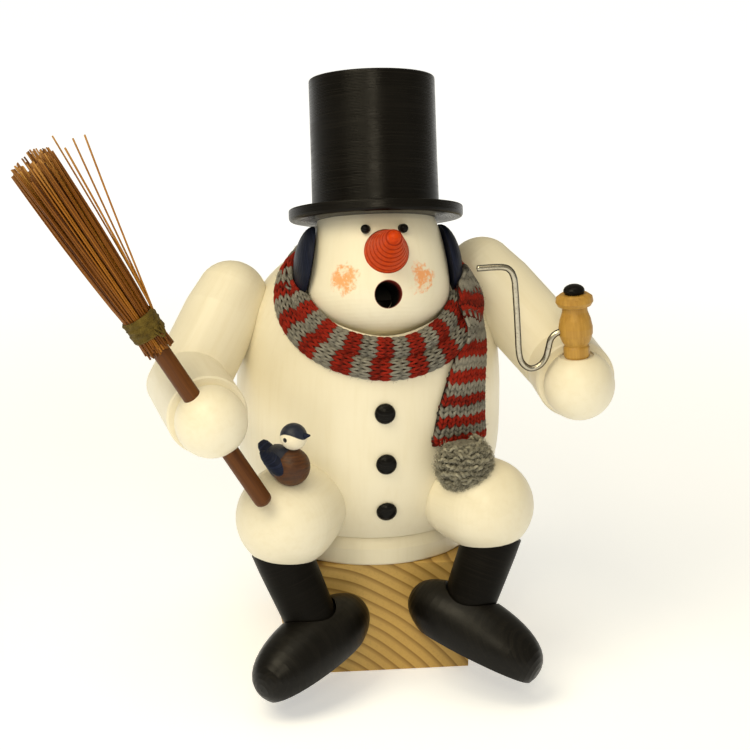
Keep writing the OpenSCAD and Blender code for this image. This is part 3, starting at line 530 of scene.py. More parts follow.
def binding_mat():
    s = Shader("binding_tape")
    s.const(Specular_IOR_Level=0.15, Sheen_Weight=0.05)
    rot = Vector((0, 0, 1)).rotation_difference(Vector(BROOM_U)).to_matrix().transposed().to_euler()
    v = s.map(rot=tuple(rot))
    w1 = s.math("SINE", s.math("MULTIPLY", s.dot(mm(BROOM_P), tuple(BROOM_U)), 2 * math.pi / 0.00075))
    n = s.noise(240, 4, 0.6, vec=v)
    fine = s.noise(1800, 3, 0.6, vec=v)
    col = s.ramp(s.math("ADD", s.math("MULTIPLY", n, 0.7), s.math("MULTIPLY", fine, 0.3)), [(0.32, (0.050, 0.031, 0.004)), (0.52, (0.105, 0.070, 0.009)), (0.72, (0.185, 0.130, 0.024))])
    return s.done(col, 0.72, s.bump(s.math("ADD", s.math("MULTIPLY", w1, 0.35), fine), 0.5, 0.0003))


M_BRISTLE = bristle_mat()
M_BINDING = binding_mat()

for n in ("body_shell",):
    NODE[n].data.materials.clear()
ASSIGN = {
    "seat_block": M_PINE, "base_plate": M_ARM["base_plate"], "incense_tray": M_TRAY, "tray_screw": M_SCREW,
    "body_shell": M_BODY, "head": M_HEAD, "hat_brim": M_HAT, "hat_crown": M_HAT, "hat_dowel": M_BEECH,
    "nose": M_CARROT, "eye_right": M_BEAD, "eye_left": M_BEAD, "ear_muff_right": M_NAVY, "ear_muff_left": M_NAVY,
    "button_top": M_BEAD, "button_middle": M_BEAD, "button_bottom": M_BEAD,
    "shoulder_dowels": M_BEECH, "elbow_dowels": M_BEECH, "wrist_dowels": M_BEECH, "hip_dowels": M_BEECH, "ankle_dowels": M_BEECH,
    "boot_shaft_right": M_BOOT_R, "boot_shaft_left": M_BOOT_L, "shoe_right": M_SHOE, "shoe_left": M_SHOE,
    "broom_handle": M_STICK, "pipe_bowl": M_BOWL, "pipe_cap": M_BEAD, "pipe_stem": M_STEEL,
    "bird_body": M_BIRD, "bird_head": M_BIRD_HEAD, "bird_beak": M_MANTLE, "bird_wing_right": M_MANTLE, "bird_wing_left": M_MANTLE,
    "bird_tail": M_MANTLE, "bird_peg": M_BEECH,
    "scarf_neck": M_RED, "scarf_tail_front": M_RED, "scarf_fringe_front": M_FRINGE, "scarf_tail_back": M_RED, "scarf_fringe_back": M_FRINGE,
    "broom_bristles": M_BRISTLE, "broom_binding": M_BINDING, "broom_loose_fibres": M_BRISTLE,
}
ASSIGN.update({k: v for k, v in M_ARM.items()})
for n, m in ASSIGN.items():
    d = NODE[n].data
    d.materials.clear()
    d.materials.append(m)
    idx = np.zeros(len(d.polygons), np.int32)
    d.polygons.foreach_set("material_index", idx)


# ---------------------------------------------------------------- mesh helpers
def mesh_object(name, verts, quads, tris=None, mats=(), smooth=True, tone=None):
    """verts in millimetres; quads and tris are index arrays."""
    verts = np.asarray(verts, float) / 1000.0
    quads = np.asarray(quads, np.int32).reshape(-1, 4)
    tris = np.zeros((0, 3), np.int32) if tris is None else np.asarray(tris, np.int32).reshape(-1, 3)
    me = bpy.data.meshes.new(name)
    me.vertices.add(len(verts))
    me.vertices.foreach_set("co", verts.astype(np.float32).ravel())
    loops = np.concatenate([quads.ravel(), tris.ravel()])
    me.loops.add(len(loops))
    me.loops.foreach_set("vertex_index", loops.astype(np.int32))
    me.polygons.add(len(quads) + len(tris))
    starts = np.concatenate([np.arange(len(quads)) * 4, len(quads) * 4 + np.arange(len(tris)) * 3])
    me.polygons.foreach_set("loop_start", starts.astype(np.int32))
    me.polygons.foreach_set("use_smooth", np.full(len(quads) + len(tris), smooth, bool))
    me.update(calc_edges=True)
    me.validate()
    if tone is not None:
        a = me.attributes.new("tone", "FLOAT", "POINT")
        a.data.foreach_set("value", np.asarray(tone, np.float32))
    for m in mats:
        me.materials.append(m)
    o = bpy.data.objects.new(name, me)
    bpy.context.scene.collection.objects.link(o)
    return o


def frames_along(P):
    T = np.gradient(P, axis=0)
    T /= np.maximum(np.linalg.norm(T, axis=1), 1e-9)[:, None]
    ref = np.array([0, 0, 1.0]) if abs(T[0][2]) < 0.9 else np.array([1.0, 0, 0])
    n = ref - ref.dot(T[0]) * T[0]
    n /= np.linalg.norm(n)
    Ns = np.empty_like(P)
    for i in range(len(P)):
        n = n - n.dot(T[i]) * T[i]
        n /= max(np.linalg.norm(n), 1e-9)
        Ns[i] = n
    return T, Ns, np.cross(T, Ns)


class Tubes:
    """Collects round yarns, wires and fibres into one mesh."""

    def __init__(self):
        self.V, self.Q, self.T, self.tone, self.n = [], [], [], [], 0

    def add(self, P, r, sides=6, tone=0.5, ply=0.0, twist=0.0, phase=0.0):
        P = np.asarray(P, float)
        m = len(P)
        r = np.broadcast_to(np.asarray(r, float), (m,))
        T, A, B = frames_along(P)
        s = np.concatenate([[0], np.cumsum(np.linalg.norm(np.diff(P, axis=0), axis=1))])
        ang = np.linspace(0, 2 * np.pi, sides, endpoint=False)
        rr = r[:, None] * (1 + ply * np.cos(2 * (ang[None, :] - twist * s[:, None]) + phase))
        V = P[:, None, :] + rr[:, :, None] * (np.cos(ang)[None, :, None] * A[:, None, :] + np.sin(ang)[None, :, None] * B[:, None, :])
        V = V.reshape(-1, 3)
        ends = np.array([P[0] - T[0] * r[0] * 0.35, P[-1] + T[-1] * r[-1] * 0.35])
        i, j = np.meshgrid(np.arange(m - 1), np.arange(sides), indexing="ij")
        a = i * sides + j
        b = i * sides + (j + 1) % sides
        Q = np.stack([a, b, b + sides, a + sides], -1).reshape(-1, 4)
        k = np.arange(sides)
        t0 = np.stack([np.full(sides, m * sides), (k + 1) % sides, k], -1)
        last = (m - 1) * sides
        t1 = np.stack([np.full(sides, m * sides + 1), last + k, last + (k + 1) % sides], -1)
        self.V += [V, ends]
        self.Q.append(Q + self.n)
        self.T += [t0 + self.n, t1 + self.n]
        self.tone.append(np.full(len(V) + 2, tone) if np.isscalar(tone) else np.concatenate([np.repeat(tone, sides), [tone[0], tone[-1]]]))
        self.n += len(V) + 2

    def object(self, name, mat):
        return mesh_object(name, np.concatenate(self.V), np.concatenate(self.Q), np.concatenate(self.T), [mat], True, np.concatenate(self.tone))


def grid_object(name, P, mats, closed_u=False, closed_v=False, tone=None, thickness=0.0, tint=None):
    """P is (nu, nv, 3)."""
    nu, nv = P.shape[:2]
    iu = np.arange(nu if closed_u else nu - 1)
    iv = np.arange(nv if closed_v else nv - 1)
    i, j = np.meshgrid(iu, iv, indexing="ij")
    i2, j2 = (i + 1) % nu, (j + 1) % nv
    Q = np.stack([i * nv + j, i2 * nv + j, i2 * nv + j2, i * nv + j2], -1).reshape(-1, 4)
    return mesh_object(name, P.reshape(-1, 3), Q, None, mats, True, np.full(nu * nv, 0.4) if tone is None else tone.ravel()), Q


# ---------------------------------------------------------------- what the wool lies on
def push(P, margin, body=True, head=True, muffs=True, ring=False, arm=True):
    P = np.array(P, float)
    m = np.broadcast_to(np.asarray(margin, float), P.shape[:-1])
    for _ in range(3):
        if ring:
            q = P - SCARF_O
            loc = q @ RX          # into the ring's own frame
            rad = np.hypot(loc[..., 0], loc[..., 1])
            dr, dz = rad - 47.0, loc[..., 2]
            d = np.hypot(dr, dz)
            pen = np.maximum(0, 9.6 + m - d)
            d = np.maximum(d, 1e-6)
            nloc = np.stack([loc[..., 0] / np.maximum(rad, 1e-6) * dr / d, loc[..., 1] / np.maximum(rad, 1e-6) * dr / d, dz / d], -1)
            nw = nloc @ RX.T
            outward = np.stack([P[..., 0], P[..., 1] + 0.0, 0 * P[..., 2]], -1)
            outward /= np.maximum(np.linalg.norm(outward, axis=-1), 1e-6)[..., None]
            P = P + pen[..., None] * (0.5 * nw + 0.5 * outward)
        if body:
            r = np.hypot(P[..., 0], P[..., 1])
            z = P[..., 2]
            a = np.where(z > 135, np.clip((z - 135) / 101, 0, 1.5), np.clip((135 - z) / 84, 0, 1.5))
            e = np.where(z > 135, 3.25, 2.3)
            L = np.where(z > 135, 101.0, 84.0)
            f = (r / 74.6) ** 2 + a ** e - 1
            gr = 2 * r / 74.6 ** 2
            gz = np.where(z > 135, 1.0, -1.0) * e * np.maximum(a, 1e-6) ** (e - 1) / L
            g = np.maximum(np.hypot(gr, gz), 1e-6)
            d = f / g
            pen = np.maximum(0, m + 0.3 - d)
            ux, uy = P[..., 0] / np.maximum(r, 1e-6), P[..., 1] / np.maximum(r, 1e-6)
            n = np.stack([ux * gr / g, uy * gr / g, gz / g], -1)
            P = P + pen[..., None] * n
        if arm:
            q = P - shoulder_L
            a = q @ ARM_U
            rv = q - a[..., None] * ARM_U
            r = np.linalg.norm(rv, axis=-1)
            w = np.maximum(0, 14 - a) / 33.0
            f = (r / 22.0) ** 2 + w ** 2 - 1
            gr, gw = 2 * r / 22.0 ** 2, -2 * w / 33.0
            g = np.maximum(np.hypot(gr, gw), 1e-6)
            pen = np.maximum(0, m + 0.3 - f / g)
            n = (gr / g)[..., None] * rv / np.maximum(r, 1e-6)[..., None] + (gw / g)[..., None] * ARM_U
            P = P + pen[..., None] * n
        if head:
            q = P - HEAD_O
            h, x, ff = q @ HA, q[..., 0], q @ HF
            r = np.hypot(x, ff)
            low = h < -11.5
            a = np.where(low, (-11.5 - h) / 28.1, (h + 11.5) / 65.5)
            L = np.where(low, 28.1, 65.5)
            f = (r / 38.8) ** 2 + a ** 2 - 1
            gr = 2 * r / 38.8 ** 2
            gh = np.where(low, -1.0, 1.0) * 2 * a / L
            g = np.maximum(np.hypot(gr, gh), 1e-6)
            pen = np.maximum(0, m + 0.35 - f / g)
            pen = np.where(h > 24, 0, pen)
            n = (x / np.maximum(r, 1e-6) * gr / g)[..., None] * HX + (ff / np.maximum(r, 1e-6) * gr / g)[..., None] * HF + (gh / g)[..., None] * HA
            P = P + pen[..., None] * n
        if muffs:
            for s in (-1, 1):
                ax = unit(s * math.cos(math.radians(10)) * HX + math.sin(math.radians(10)) * HA)
                q = P - hp(4.5, s * 36.0, 1)
                a = q @ ax
                rv = q - a[..., None] * ax
                r = np.linalg.norm(rv, axis=-1)
                f = (r / 18.6) ** 2 + (a / 9.6) ** 2 - 1
                gr, ga = 2 * r / 18.6 ** 2, 2 * a / 9.6 ** 2
                g = np.maximum(np.hypot(gr, ga), 1e-6)
                pen = np.where(a > -2, np.maximum(0, m + 0.3 - f / g), 0)
                n = (gr / g)[..., None] * rv / np.maximum(r, 1e-6)[..., None] + (ga / g)[..., None] * ax
                P = P + pen[..., None] * n
    return P


ARM_U = unit(elbow_L - shoulder_L)
SCARF_O = np.array([0, -32, 211.0])
SL = math.radians(35)
RX = np.array([[1, 0, 0], [0, math.cos(SL), -math.sin(SL)], [0, math.sin(SL), math.cos(SL)]])


def ring_point(theta, cr, ca, rad, psi):
    """Point and outward normal on a band: cr, ca is the band's centre in the ring's section, psi the angle round it."""
    er = np.stack([np.cos(theta), np.sin(theta), 0 * theta], -1) @ RX.T
    ea = RX @ np.array([0, 0, 1.0])
    n = np.cos(psi)[..., None] * er + np.sin(psi)[..., None] * ea
    p = SCARF_O + (47.0 + cr)[..., None] * er + ca[..., None] * ea + rad[..., None] * n
    return p, n


BANDS = [  # centre (r, a) in the section, radius, first and last angle, wales, phase
    dict(c=(-5.3, 4.3), rad=5.7, psi=(-105, 205), wales=9, shift=-1.8),
    dict(c=(3.0, -2.6), rad=6.1, psi=(-130, 142), wales=8, shift=-2.3),
]
COURSES = 64


def stitch_course(N, sp=14, a=0.23, hh=0.78):
    s = np.linspace(0, N, N * sp + 1)
    t = 2 * np.pi * s
    return s + a * np.sin(2 * t), -hh * np.cos(t), -np.cos(2 * t)


def hairs(t, P, n, count):
    """Short fibres that stand off the yarn."""
    for k in rng.randint(0, len(P), count):
        d = n[k] * rng.uniform(0.4, 1.0) + rng.normal(0, 0.45, 3)
        d /= np.linalg.norm(d)
        w = np.cross(d, rng.normal(size=3))
        w /= np.linalg.norm(w)
        s = np.linspace(0, 1, 4)[:, None]
        L = rng.uniform(1.1, 2.3)
        t.add(P[k] + d * L * s + w * 0.7 * L * s ** 2, 0.055, 3, rng.uniform(0.5, 1.0))


red, grey = Tubes(), Tubes()
base_P = []
wob = rng.uniform(0, 6.28, 8)


def slack(theta, k):
    """Slow unevenness of a hand-wound scarf."""
    return 0.5 * np.sin(3 * theta + wob[k]) + 0.35 * np.sin(7 * theta + wob[k + 2])


for b, B in enumerate(BANDS):
    yarn = 0.73
    p0, p1 = math.radians(B["psi"][0]), math.radians(B["psi"][1])
    for j in range(COURSES):
        x, y, z = stitch_course(B["wales"])
        jj = j + y + rng.uniform(-0.05, 0.05) + B["shift"]
        theta = -math.pi / 2 + 2 * math.pi * (jj + 1.0) / COURSES
        psi = p0 + (p1 - p0) * x / B["wales"]
        rad = B["rad"] - yarn - 0.25 + 0.55 * z + 0.25 * slack(theta, b)
        cr = np.full_like(theta, B["c"][0]) + 0.35 * slack(theta, b + 1)
        ca = np.full_like(theta, B["c"][1]) + 0.35 * slack(theta + 1, b + 2)
        P, n = ring_point(theta, cr, ca, rad, psi)
        P += rng.normal(0, 0.05, P.shape)
        P = push(P, yarn + 0.1)
        t = red if (j // 2) % 2 == 0 else grey
        # painted light and shade: tone rises with the yarn's lift z, lighter on top of each loop and darker where it
        # dips into the fabric, plus random tone
        t.add(P, yarn * (1 + 0.06 * math.sin(j * 1.7)), 6, np.clip(0.42 + 0.34 * z + rng.uniform(-0.14, 0.14) + rng.normal(0, 0.05, len(z)), 0, 1))
        hairs(t, P, n, 16)
    th = np.linspace(-math.pi, math.pi, 161)[:-1]
    ps = np.linspace(p0 - 0.25, p1 + 0.25, 27)
    TH, PS = np.meshgrid(th, ps, indexing="ij")
    P, n = ring_point(TH, np.full_like(TH, B["c"][0]), np.full_like(TH, B["c"][1]), np.full_like(TH, B["rad"] - 1.35), PS)
    base_P.append((push(P, 0.25), True, TH))


def tail_rows(kind):
    if kind == "front":
        return (lambda t: 33.5 + 26.5 * (1 - t) ** 2.6), (lambda t: 210.5 - 73.5 * t), (lambda t: 7.2 + 12.8 * t ** 0.85)
    return (lambda t: 150 - 4 * t), (lambda t: 212 - 66 * t), (lambda t: 12.6 + 2 * t)


def tail_point(kind, t, v, lift):
    """t along the tail, v from -1 to 1 across it, lift above the cloth's middle."""
    phi_f, z_f, w_f = tail_rows(kind)
    z = z_f(t)
    tt = np.clip(t, 0, 1)
    r = body_rad(z) + 0.3
    hw = w_f(tt)
    phi = np.radians(phi_f(tt)) + v * hw / r * 0.98
    d = np.stack([np.sin(phi), -np.cos(phi), 0 * phi], -1)
    dz = 0.5
    slope = (body_rad(z + dz) - body_rad(z - dz)) / (2 * dz)
    n = d - slope[..., None] * np.array([0, 0, 1.0])
    n /= np.linalg.norm(n, axis=-1)[..., None]
    th = 5.6 * (0.42 + 0.58 * np.sqrt(np.maximum(0, 1 - np.abs(v) ** 3)))
    base = r[..., None] * d + z[..., None] * np.array([0, 0, 1.0])
    P = base + (th + lift)[..., None] * n
    if kind == "front":
        w = np.clip((0.36 - t) / 0.36, 0, 1.0)
        w = w * w * (3 - 2 * w)
        P = P + w[..., None] * np.array([-6.5, -4.5, 12.5])
    return P


EDGES = {
    "front": [0, 8.3, 19, 31, 43, 54, 67.5, 81, 94, 108, 124.5, 139.5, 156],
    "back": [0, 12, 24, 36, 48, 60, 72, 84, 96, 108, 120, 132, 144],
}
for kind in ("front", "back"):
    yarn = 1.0
    W = 7
    e = np.array(EDGES[kind], float)
    e = 1 - e / e[-1]                      # t of each stripe's edges, from the hem up
    for i in range(12):
        for k in range(2):
            c0, c1 = e[i], e[i + 1]
            tc = c0 + (c1 - c0) * (k + 0.5) / 2
            pitch = abs(c1 - c0) / 2
            x, y, z = stitch_course(W, 16, 0.22, 0.80)
            t = tc - y * pitch + 0.006 * np.sin(x * 1.3 + i) + (0.03 * ((x / W) - 0.5) if kind == "front" else 0)
            v = (x / W) * 2 - 1
            v = np.clip(v, -1.02, 1.02) * (0.97 + 0.03 * math.sin(i * 2.1 + k))
            P = tail_point(kind, t, v, -yarn - 0.1 + 0.45 * z)
            P += rng.normal(0, 0.07, P.shape)
            P = push(P, yarn + 0.05, ring=(kind == "front"))
            t_ = red if i % 2 == 0 else grey
            # painted light and shade: tone rises with the yarn's lift z, lighter on top of each loop and darker where
            # it dips into the fabric, plus random tone
            t_.add(P, yarn * rng.uniform(0.93, 1.05), 7, np.clip(0.42 + 0.34 * z + rng.uniform(-0.14, 0.14) + rng.normal(0, 0.05, len(z)), 0, 1))
            up_ = np.stack([P[:, 0], P[:, 1], 0 * P[:, 2]], -1)
            hairs(t_, P, up_ / np.linalg.norm(up_, axis=-1)[:, None], 26)
    if kind == "back":
        zs = np.linspace(212.0, 234.0, 400)
        arc = np.concatenate([[0], np.cumsum(np.hypot(np.diff(zs), np.diff(body_rad(zs))))])
        cuts = np.interp(np.arange(0, arc[-1], 6.0), arc, zs)
        cuts = (212.0 - cuts) / 66.0
        for i in range(len(cuts) - 1):
            for k in range(2):
                c0, c1 = cuts[i], cuts[i + 1]
                x, y, z = stitch_course(W, 16, 0.22, 0.80)
                t = c0 + (c1 - c0) * (k + 0.5) / 2 - y * (c1 - c0) / 2
                P = tail_point(kind, np.minimum(t, 0.0), (x / W) * 2 - 1, -yarn - 0.1 + 0.45 * z)
                P = push(P + rng.normal(0, 0.07, P.shape), yarn + 0.05)
                # painted light and shade: tone rises with the yarn's lift z, lighter on top of each loop and darker
                # where it dips
                (red if i % 2 == 0 else grey).add(P, yarn, 7, np.clip(0.42 + 0.34 * z, 0, 1))
    tt = np.linspace(-0.01, 1.0, 60)
    if kind == "back":
        tt = np.concatenate([np.linspace(-0.328, -0.02, 40), tt])
    vv = np.linspace(-0.97, 0.97, 19)
    TT, VV = np.meshgrid(tt, vv, indexing="ij")
    P = tail_point(kind, TT, VV, np.full_like(TT, -2.3))
    base_P.append((push(P, 0.3, ring=(kind == "front")), False, TT))

# the cloth itself, under its raised stitches, coloured near black as painted shade between the stitches
V, Q, n0 = [], [], 0
for P, closed, _ in base_P:
    nu, nv = P.shape[:2]
    i, j = np.meshgrid(np.arange(nu if closed else nu - 1), np.arange(nv - 1), indexing="ij")
    i2 = (i + 1) % nu
    Q.append(np.stack([i * nv + j, i2 * nv + j, i2 * nv + j + 1, i * nv + j + 1], -1).reshape(-1, 4) + n0)
    V.append(P.reshape(-1, 3))
    n0 += nu * nv
V = np.concatenate(V)
Q = np.concatenate(Q)
# painted shade: near-black wool colours on the sheet below the stitches
cloth = mesh_object("scarf_shade_cloth", V, Q, None, [wool("scarf_ground_shade", (0.012, 0.006, 0.005), (0.040, 0.020, 0.017), (1.0, 0.8, 0.7))], True, np.full(len(V), 0.4))
stitch_red = red.object("scarf_red_rows", M_RED)
stitch_grey = grey.object("scarf_grey_rows", M_GREY)


# ---------------------------------------------------------------- looped wool ends
def fringe(name, centre, r, out, top, seed):
    g = np.random.RandomState(seed)
    t = Tubes()
    c = np.array(centre, float)
    out = unit(out)
    upv = np.array([0, 0, 1.0])
    side = unit(np.cross(upv, out))
    # rows of plump loops, from the hem down and round
    rows = 12
    for i in range(rows):
        el = math.radians(48 - i * 128 / (rows - 1))
        ring_r = math.cos(el)
        k = max(4, int(round(25 * ring_r)))
        for q in range(k):
            az = math.radians(-115 + 230 * (q + 0.5 + g.uniform(-0.18, 0.18) + 0.25 * (i % 2)) / k)
            e = el + g.uniform(-0.07, 0.07)
            d = unit(math.cos(e) * (math.cos(az) * out + math.sin(az) * side) + math.sin(e) * upv)
            tang = unit(np.cross(upv, d) + upv * g.uniform(-0.35, 0.45))
            length = g.uniform(1.6, 2.7)
            a = np.linspace(-1, 1, 9)
            bow = g.uniform(1.3, 2.6)
            P = c + (r - 2.2) * d + tang * (a * length)[:, None] + d * (bow * (1 - a ** 2) - 1.0)[:, None] + unit(np.cross(d, tang)) * (0.9 * np.sin(a * 2.2 + g.uniform(0, 3)))[:, None]
            P = push(P, 1.2)
            # painted shade: each loop's tone is lighter at its bowed-out middle and darker at the ends tucked into the
            # ball, plus random tone
            t.add(P, 0.95 * (1 - 0.4 * a ** 2) * g.uniform(0.8, 1.15), 7, np.clip(g.uniform(0.25, 0.75) + 0.35 * (1 - a ** 2) - 0.2, 0, 1), ply=0.09, twist=1.3, phase=g.uniform(0, 6))
    # loose fibres that stand off the loops
    for q in range(2600):
        az, e = math.radians(g.uniform(-120, 120)), math.radians(g.uniform(-85, 50))
        d = unit(math.cos(e) * (math.cos(az) * out + math.sin(az) * side) + math.sin(e) * upv)
        w = unit(np.cross(d, g.normal(size=3)))
        L = g.uniform(1.4, 3.6)
        s = np.linspace(0, 1, 4)
        P = c + (r - 1.2) * d + d * (s * L * 0.55)[:, None] + w * (L * 0.8 * s ** 1.6)[:, None]
        P = push(P, 0.2)
        t.add(P, 0.07, 3, g.uniform(0.5, 1.0))
    o = t.object(name + "_loops", M_FRINGE)
    # the stuffed core that fills between them
    u, v = np.linspace(0, 2 * np.pi, 49)[:-1], np.linspace(-0.5 * np.pi, 0.5 * np.pi, 25)
    U, Vv = np.meshgrid(u, v, indexing="ij")
    D = np.stack([np.cos(Vv) * np.cos(U), np.cos(Vv) * np.sin(U), np.sin(Vv)], -1)
    lump = 1 + 0.03 * np.sin(5 * U + 2 * np.sin(4 * Vv)) + 0.03 * np.sin(9 * Vv + 3 * np.cos(3 * U))
    P = c + (r - 3.0) * D * lump[..., None]
    P[..., 2] = np.minimum(P[..., 2], top)
    P = push(P, 0.5)
    core, _ = grid_object(name + "_core", P, [M_FRINGE], closed_u=True)
    bm = bmesh.new()
    bm.from_mesh(core.data)
    bmesh.ops.remove_doubles(bm, verts=bm.verts, dist=1e-6)
    bm.to_mesh(core.data)
    bm.free()
    return o, core


fr_front, core_front = fringe("scarf_end_front", (41, -77, 128.5), 16.8, (0.55, -0.83, 0.05), 139.0, 11)
PB = math.radians(146)
back_dir = np.array([math.sin(PB), -math.cos(PB), 0])
r_b = float(body_rad(136.0)) + 5.0
fr_back, core_back = fringe("scarf_end_back", tuple(back_dir * r_b + np.array([0, 0, 136.0])), 14.6, tuple(back_dir), 146.5, 12)

for o, nodes_ in ((cloth, ("scarf_neck", "scarf_tail_front", "scarf_tail_back")), (core_front, ("scarf_fringe_front",)), (core_back, ("scarf_fringe_back",))):
    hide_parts(*nodes_)
for o in (cloth, stitch_red, stitch_grey):
    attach(o, "figure")
for o in (fr_front, core_front, fr_back, core_back):
    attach(o, "figure")

# ---------------------------------------------------------------- broom
prof_t = np.array([44, 48, 57, 68, 80, 120, 158, 175.0])
prof_r = np.array([8.3, 8.4, 7.9, 7.9, 9.2, 12.0, 14.4, 15.4])


def broom_pt(t, e, y):
    return BROOM_P + np.multiply.outer(t, BROOM_U) + np.multiply.outer(e, BROOM_E) + np.multiply.outer(y, BROOM_Y)


bris = Tubes()
g = np.random.RandomState(21)
NB = 230
clumps = [(g.uniform(0, 2 * np.pi), math.sqrt(g.uniform(0, 1)), g.uniform(-7, 3.0), g.uniform(0, 1)) for _ in range(26)]
for i in range(NB):
    a0 = g.uniform(0, 2 * np.pi)
    q = math.sqrt((i + 0.5) / NB)
    # each fibre joins the clump nearest to it and leans to it towards the tip
    ca, cq, cl, ct = min(clumps, key=lambda c: (q * math.cos(a0) - c[1] * math.cos(c[0])) ** 2 + (q * math.sin(a0) - c[1] * math.sin(c[0])) ** 2)
    tip = 161.5 + cl + g.uniform(-2.5, 2.5)
    butt = g.uniform(46.5, 52.5)
    t = np.linspace(butt, tip, 16)
    k = np.clip((t - 75) / 85, 0, 1) ** 1.3 * 0.42
    rad = np.interp(t, prof_t, prof_r) - 0.55
    x = rad * ((1 - k) * q * math.cos(a0) + k * cq * 0.95 * math.cos(ca))
    y = rad * ((1 - k) * q * math.sin(a0) + k * cq * 0.95 * math.sin(ca))
    x += g.uniform(-0.5, 0.5) * np.sin((t - 60) / 30 + g.uniform(0, 6)) * np.clip((t - 66) / 30, 0, 1)
    y += g.uniform(-0.5, 0.5) * np.sin((t - 60) / 26 + g.uniform(0, 6)) * np.clip((t - 66) / 30, 0, 1)
    # the bundle opens round the stick where it is bound
    hole = 5.1
    d = np.hypot(x, y)
    near = t < 66
    sc = np.where(near & (d < hole), hole / np.maximum(d, 1e-3), 1)
    x, y = x * sc, y * sc
    r0 = g.uniform(0.46, 0.66)
    bris.add(broom_pt(t, x, y), r0 * np.linspace(1.0, 0.78, len(t)), 6, float(np.clip(0.45 * ct + 0.6 * g.uniform(0, 1), 0, 1)))
bristles = bris.object("broom_fibres", M_BRISTLE)
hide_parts("broom_bristles")
loose = Tubes()
for (e1, t1, y1), (e0, t0, y0), r0 in zip([(15.3, 166, 5.8), (18, 159, -3), (23.2, 160, 3), (29.4, 159, -2)], [(8.9, 68.3, 2.5), (9.1, 68.3, -1.5), (9.1, 68.3, 1.2), (9.2, 68.3, -0.1)], (0.46, 0.55, 0.50, 0.52)):
    s = np.linspace(0, 1, 22)
    e = e0 + (e1 - e0) * s - 1.5 * np.sin(np.pi * s) * (0.35 if e1 > 20 else -0.2)
    yy = y0 + (y1 - y0) * s
    loose.add(broom_pt(t0 - 1 + (t1 - t0 + 1) * s, e - 0.5 * (1 - s) ** 4, yy), r0, 7, 0.78)
loose_o = loose.object("broom_stray_fibres", M_BRISTLE)
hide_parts("broom_loose_fibres")

# tape wound round the neck of the broom, its edges stepping down a helix, with a turned-up end
tt = np.linspace(56.6, 68.6, 49)
uu = np.linspace(0, 2 * np.pi, 97)[:-1]
U, T_ = np.meshgrid(uu, tt, indexing="ij")
turn = ((T_ - 56.6) + 3.4 * U / (2 * np.pi)) / 3.4
step = 0.42 * (turn - np.floor(turn)) ** 0.7
wr = 0.16 * np.sin(5 * U + T_ * 0.9) + 0.12 * np.sin(11 * U - T_ * 1.7) + 0.10 * np.sin(3 * U + 2.3 * T_)
edge = np.clip(np.minimum(T_ - 56.6, 68.6 - T_) / 0.9, 0, 1)
R_ = 8.55 + step + wr + 0.25 * edge + 0.25 * np.cos(U - 0.6)
P = BROOM_P + T_[..., None] * BROOM_U + (R_ * np.cos(U))[..., None] * BROOM_E + (R_ * np.sin(U))[..., None] * BROOM_Y
inner = BROOM_P + T_[..., None] * BROOM_U + ((R_ - 0.9) * np.cos(U))[..., None] * BROOM_E + ((R_ - 0.9) * np.sin(U))[..., None] * BROOM_Y
full = np.concatenate([P, inner[:, ::-1]], axis=1)
binding, _ = grid_object("broom_tape", full, [M_BINDING], closed_u=True, closed_v=True)
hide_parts("broom_binding")
tag = Tubes()
s = np.linspace(0, 1, 20)
for k, (a_, r_) in enumerate(((-1.15, 0.55), (-1.0, 0.5))):
    ang = a_ + 0.5 * s
    rr = 9.6 + 1.2 * np.sin(np.pi * s)
    t_ = 59.5 - 5.0 * np.sin(np.pi * s) + k
    tag.add(BROOM_P + t_[:, None] * BROOM_U + (rr * np.cos(ang))[:, None] * BROOM_E + (rr * np.sin(ang))[:, None] * BROOM_Y, r_, 6, 0.6)
tag_o = tag.object("broom_tape_end", M_BINDING)
for o, sl in ((bristles, "bristle"), (loose_o, "bristle"), (binding, "binding_tape"), (tag_o, "binding_tape")):
    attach(o, "broom")

# ---------------------------------------------------------------- bent wire of the pipe
STEM = np.array([[-5.5, 0, 14.6], [-11, 0, 13.6], [-14.4, 0, 10.4], [-15.6, 0, 5.5], [-17, 0, 0], [-20.2, 0, -4.2], [-25.2, 0, -5.6],
                 [-29.4, 0, -2.6], [-31.4, 0, 3], [-32.3, 0, 13], [-33.2, 0, 24], [-34.3, 0, 36], [-35.2, 0, 43], [-37.4, 0, 47.6], [-42, 0, 49.6], [-55, 0, 49.2]])
pts = []
for i in range(len(STEM) - 1):
    a_, b_, c_, d_ = STEM[max(i - 1, 0)], STEM[i], STEM[i + 1], STEM[min(i + 2, len(STEM) - 1)]
    for q in np.linspace(0, 1, 10, endpoint=False):
        pts.append(0.5 * (2 * b_ + (c_ - a_) * q + (2 * a_ - 5 * b_ + 4 * c_ - d_) * q * q + (3 * b_ - a_ - 3 * c_ + d_) * q ** 3))
pts.append(STEM[-1])
wire = Tubes()
wire.add(np.array([99.7, -84, 187.6]) + np.array(pts), 1.68, 24, 0.5)
wire_o = wire.object("pipe_wire", M_STEEL)
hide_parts("pipe_stem")
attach(wire_o, "pipe")

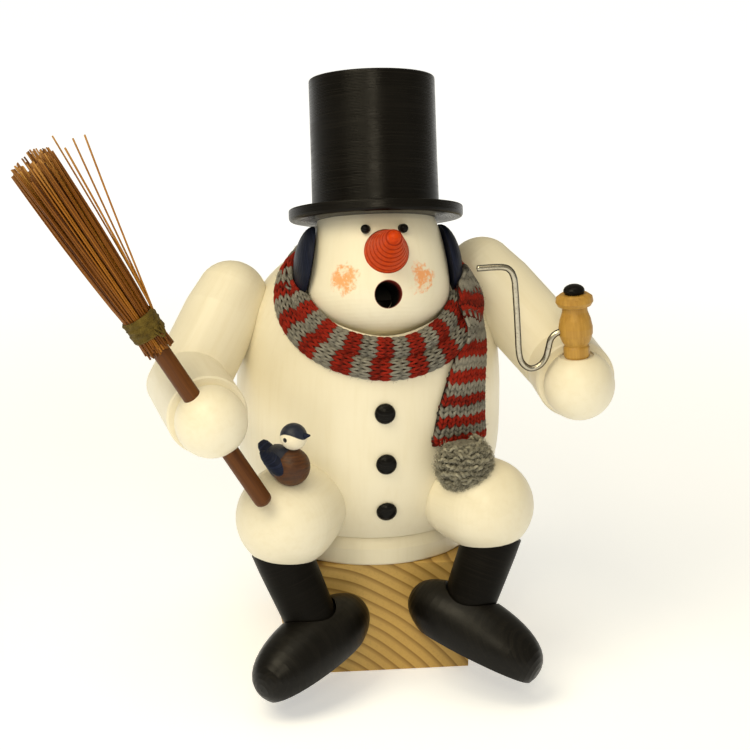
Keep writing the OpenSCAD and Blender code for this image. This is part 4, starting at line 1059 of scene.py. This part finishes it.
# ---------------------------------------------------------------- edges softened on the block
bev = NODE["seat_block"].modifiers.new("edge", "BEVEL")
bev.width, bev.segments, bev.limit_method, bev.angle_limit = 0.0008, 3, "ANGLE", math.radians(30)

# ---------------------------------------------------------------- floor and light
bm = bmesh.new()
bmesh.ops.create_grid(bm, x_segments=2, y_segments=2, size=9.0)
me = bpy.data.meshes.new("floor")
bm.to_mesh(me)
bm.free()
floor = bpy.data.objects.new("floor", me)
floor.location = (0, 3.0, -0.0004)
bpy.context.scene.collection.objects.link(floor)
fs = Shader("floor_pale")
fs.const(Specular_IOR_Level=0.05)
fs.bsdf.inputs["Emission Color"].default_value = (1.0, 1.0, 1.0, 1)
# painted light: the floor glows, emission 0.40 near the figure rising to 0.74 by 1.3 m away, so it reads white further
# off
far = fs.ranged(fs.vmath("DISTANCE", fs.co, (0.0, -3.0, 0.0), 1), 0.25, 1.3, 0.40, 0.74)
fs.link(far, fs.bsdf.inputs["Emission Strength"])
me.materials.append(fs.done(fs.mix(fs.noise(3, 2, 0.5), (0.87, 0.90, 0.95), (0.89, 0.92, 0.97)), 0.8))


def area(name, az, el, dist, size, power, color, target=(0, -0.03, 0.15)):
    d = bpy.data.lights.new(name, "AREA")
    d.energy, d.size, d.color = power, size, color
    o = bpy.data.objects.new(name, d)
    a, e = math.radians(az), math.radians(el)
    b = Vector((math.sin(a) * math.cos(e), -math.cos(a) * math.cos(e), math.sin(e)))
    o.location = Vector(target) + b * dist
    o.rotation_mode = "QUATERNION"
    o.rotation_quaternion = b.to_track_quat("Z", "Y")
    bpy.context.scene.collection.objects.link(o)
    return o


WARM = (1.0, 0.89, 0.63)
area("front", -8.5, 28, 1.7, 0.36, 5.2, (1.0, 0.89, 0.65))
area("key", -48, 50, 1.4, 0.8, 10.4, WARM)
area("fill", 48, 24, 1.7, 1.0, 0.5, (1.0, 0.88, 0.64))
area("top", -10, 80, 1.5, 0.9, 3.2, (1.0, 0.91, 0.70))
world = bpy.data.worlds.new("world")
bpy.context.scene.world = world
world.use_nodes = True
bg = world.node_tree.nodes["Background"]
bg.inputs[0].default_value = (1.0, 0.94, 0.76, 1)
bg.inputs[1].default_value = 0.34
bpy.context.scene.view_settings.view_transform = "Standard"
bpy.context.scene.view_settings.look = "None"
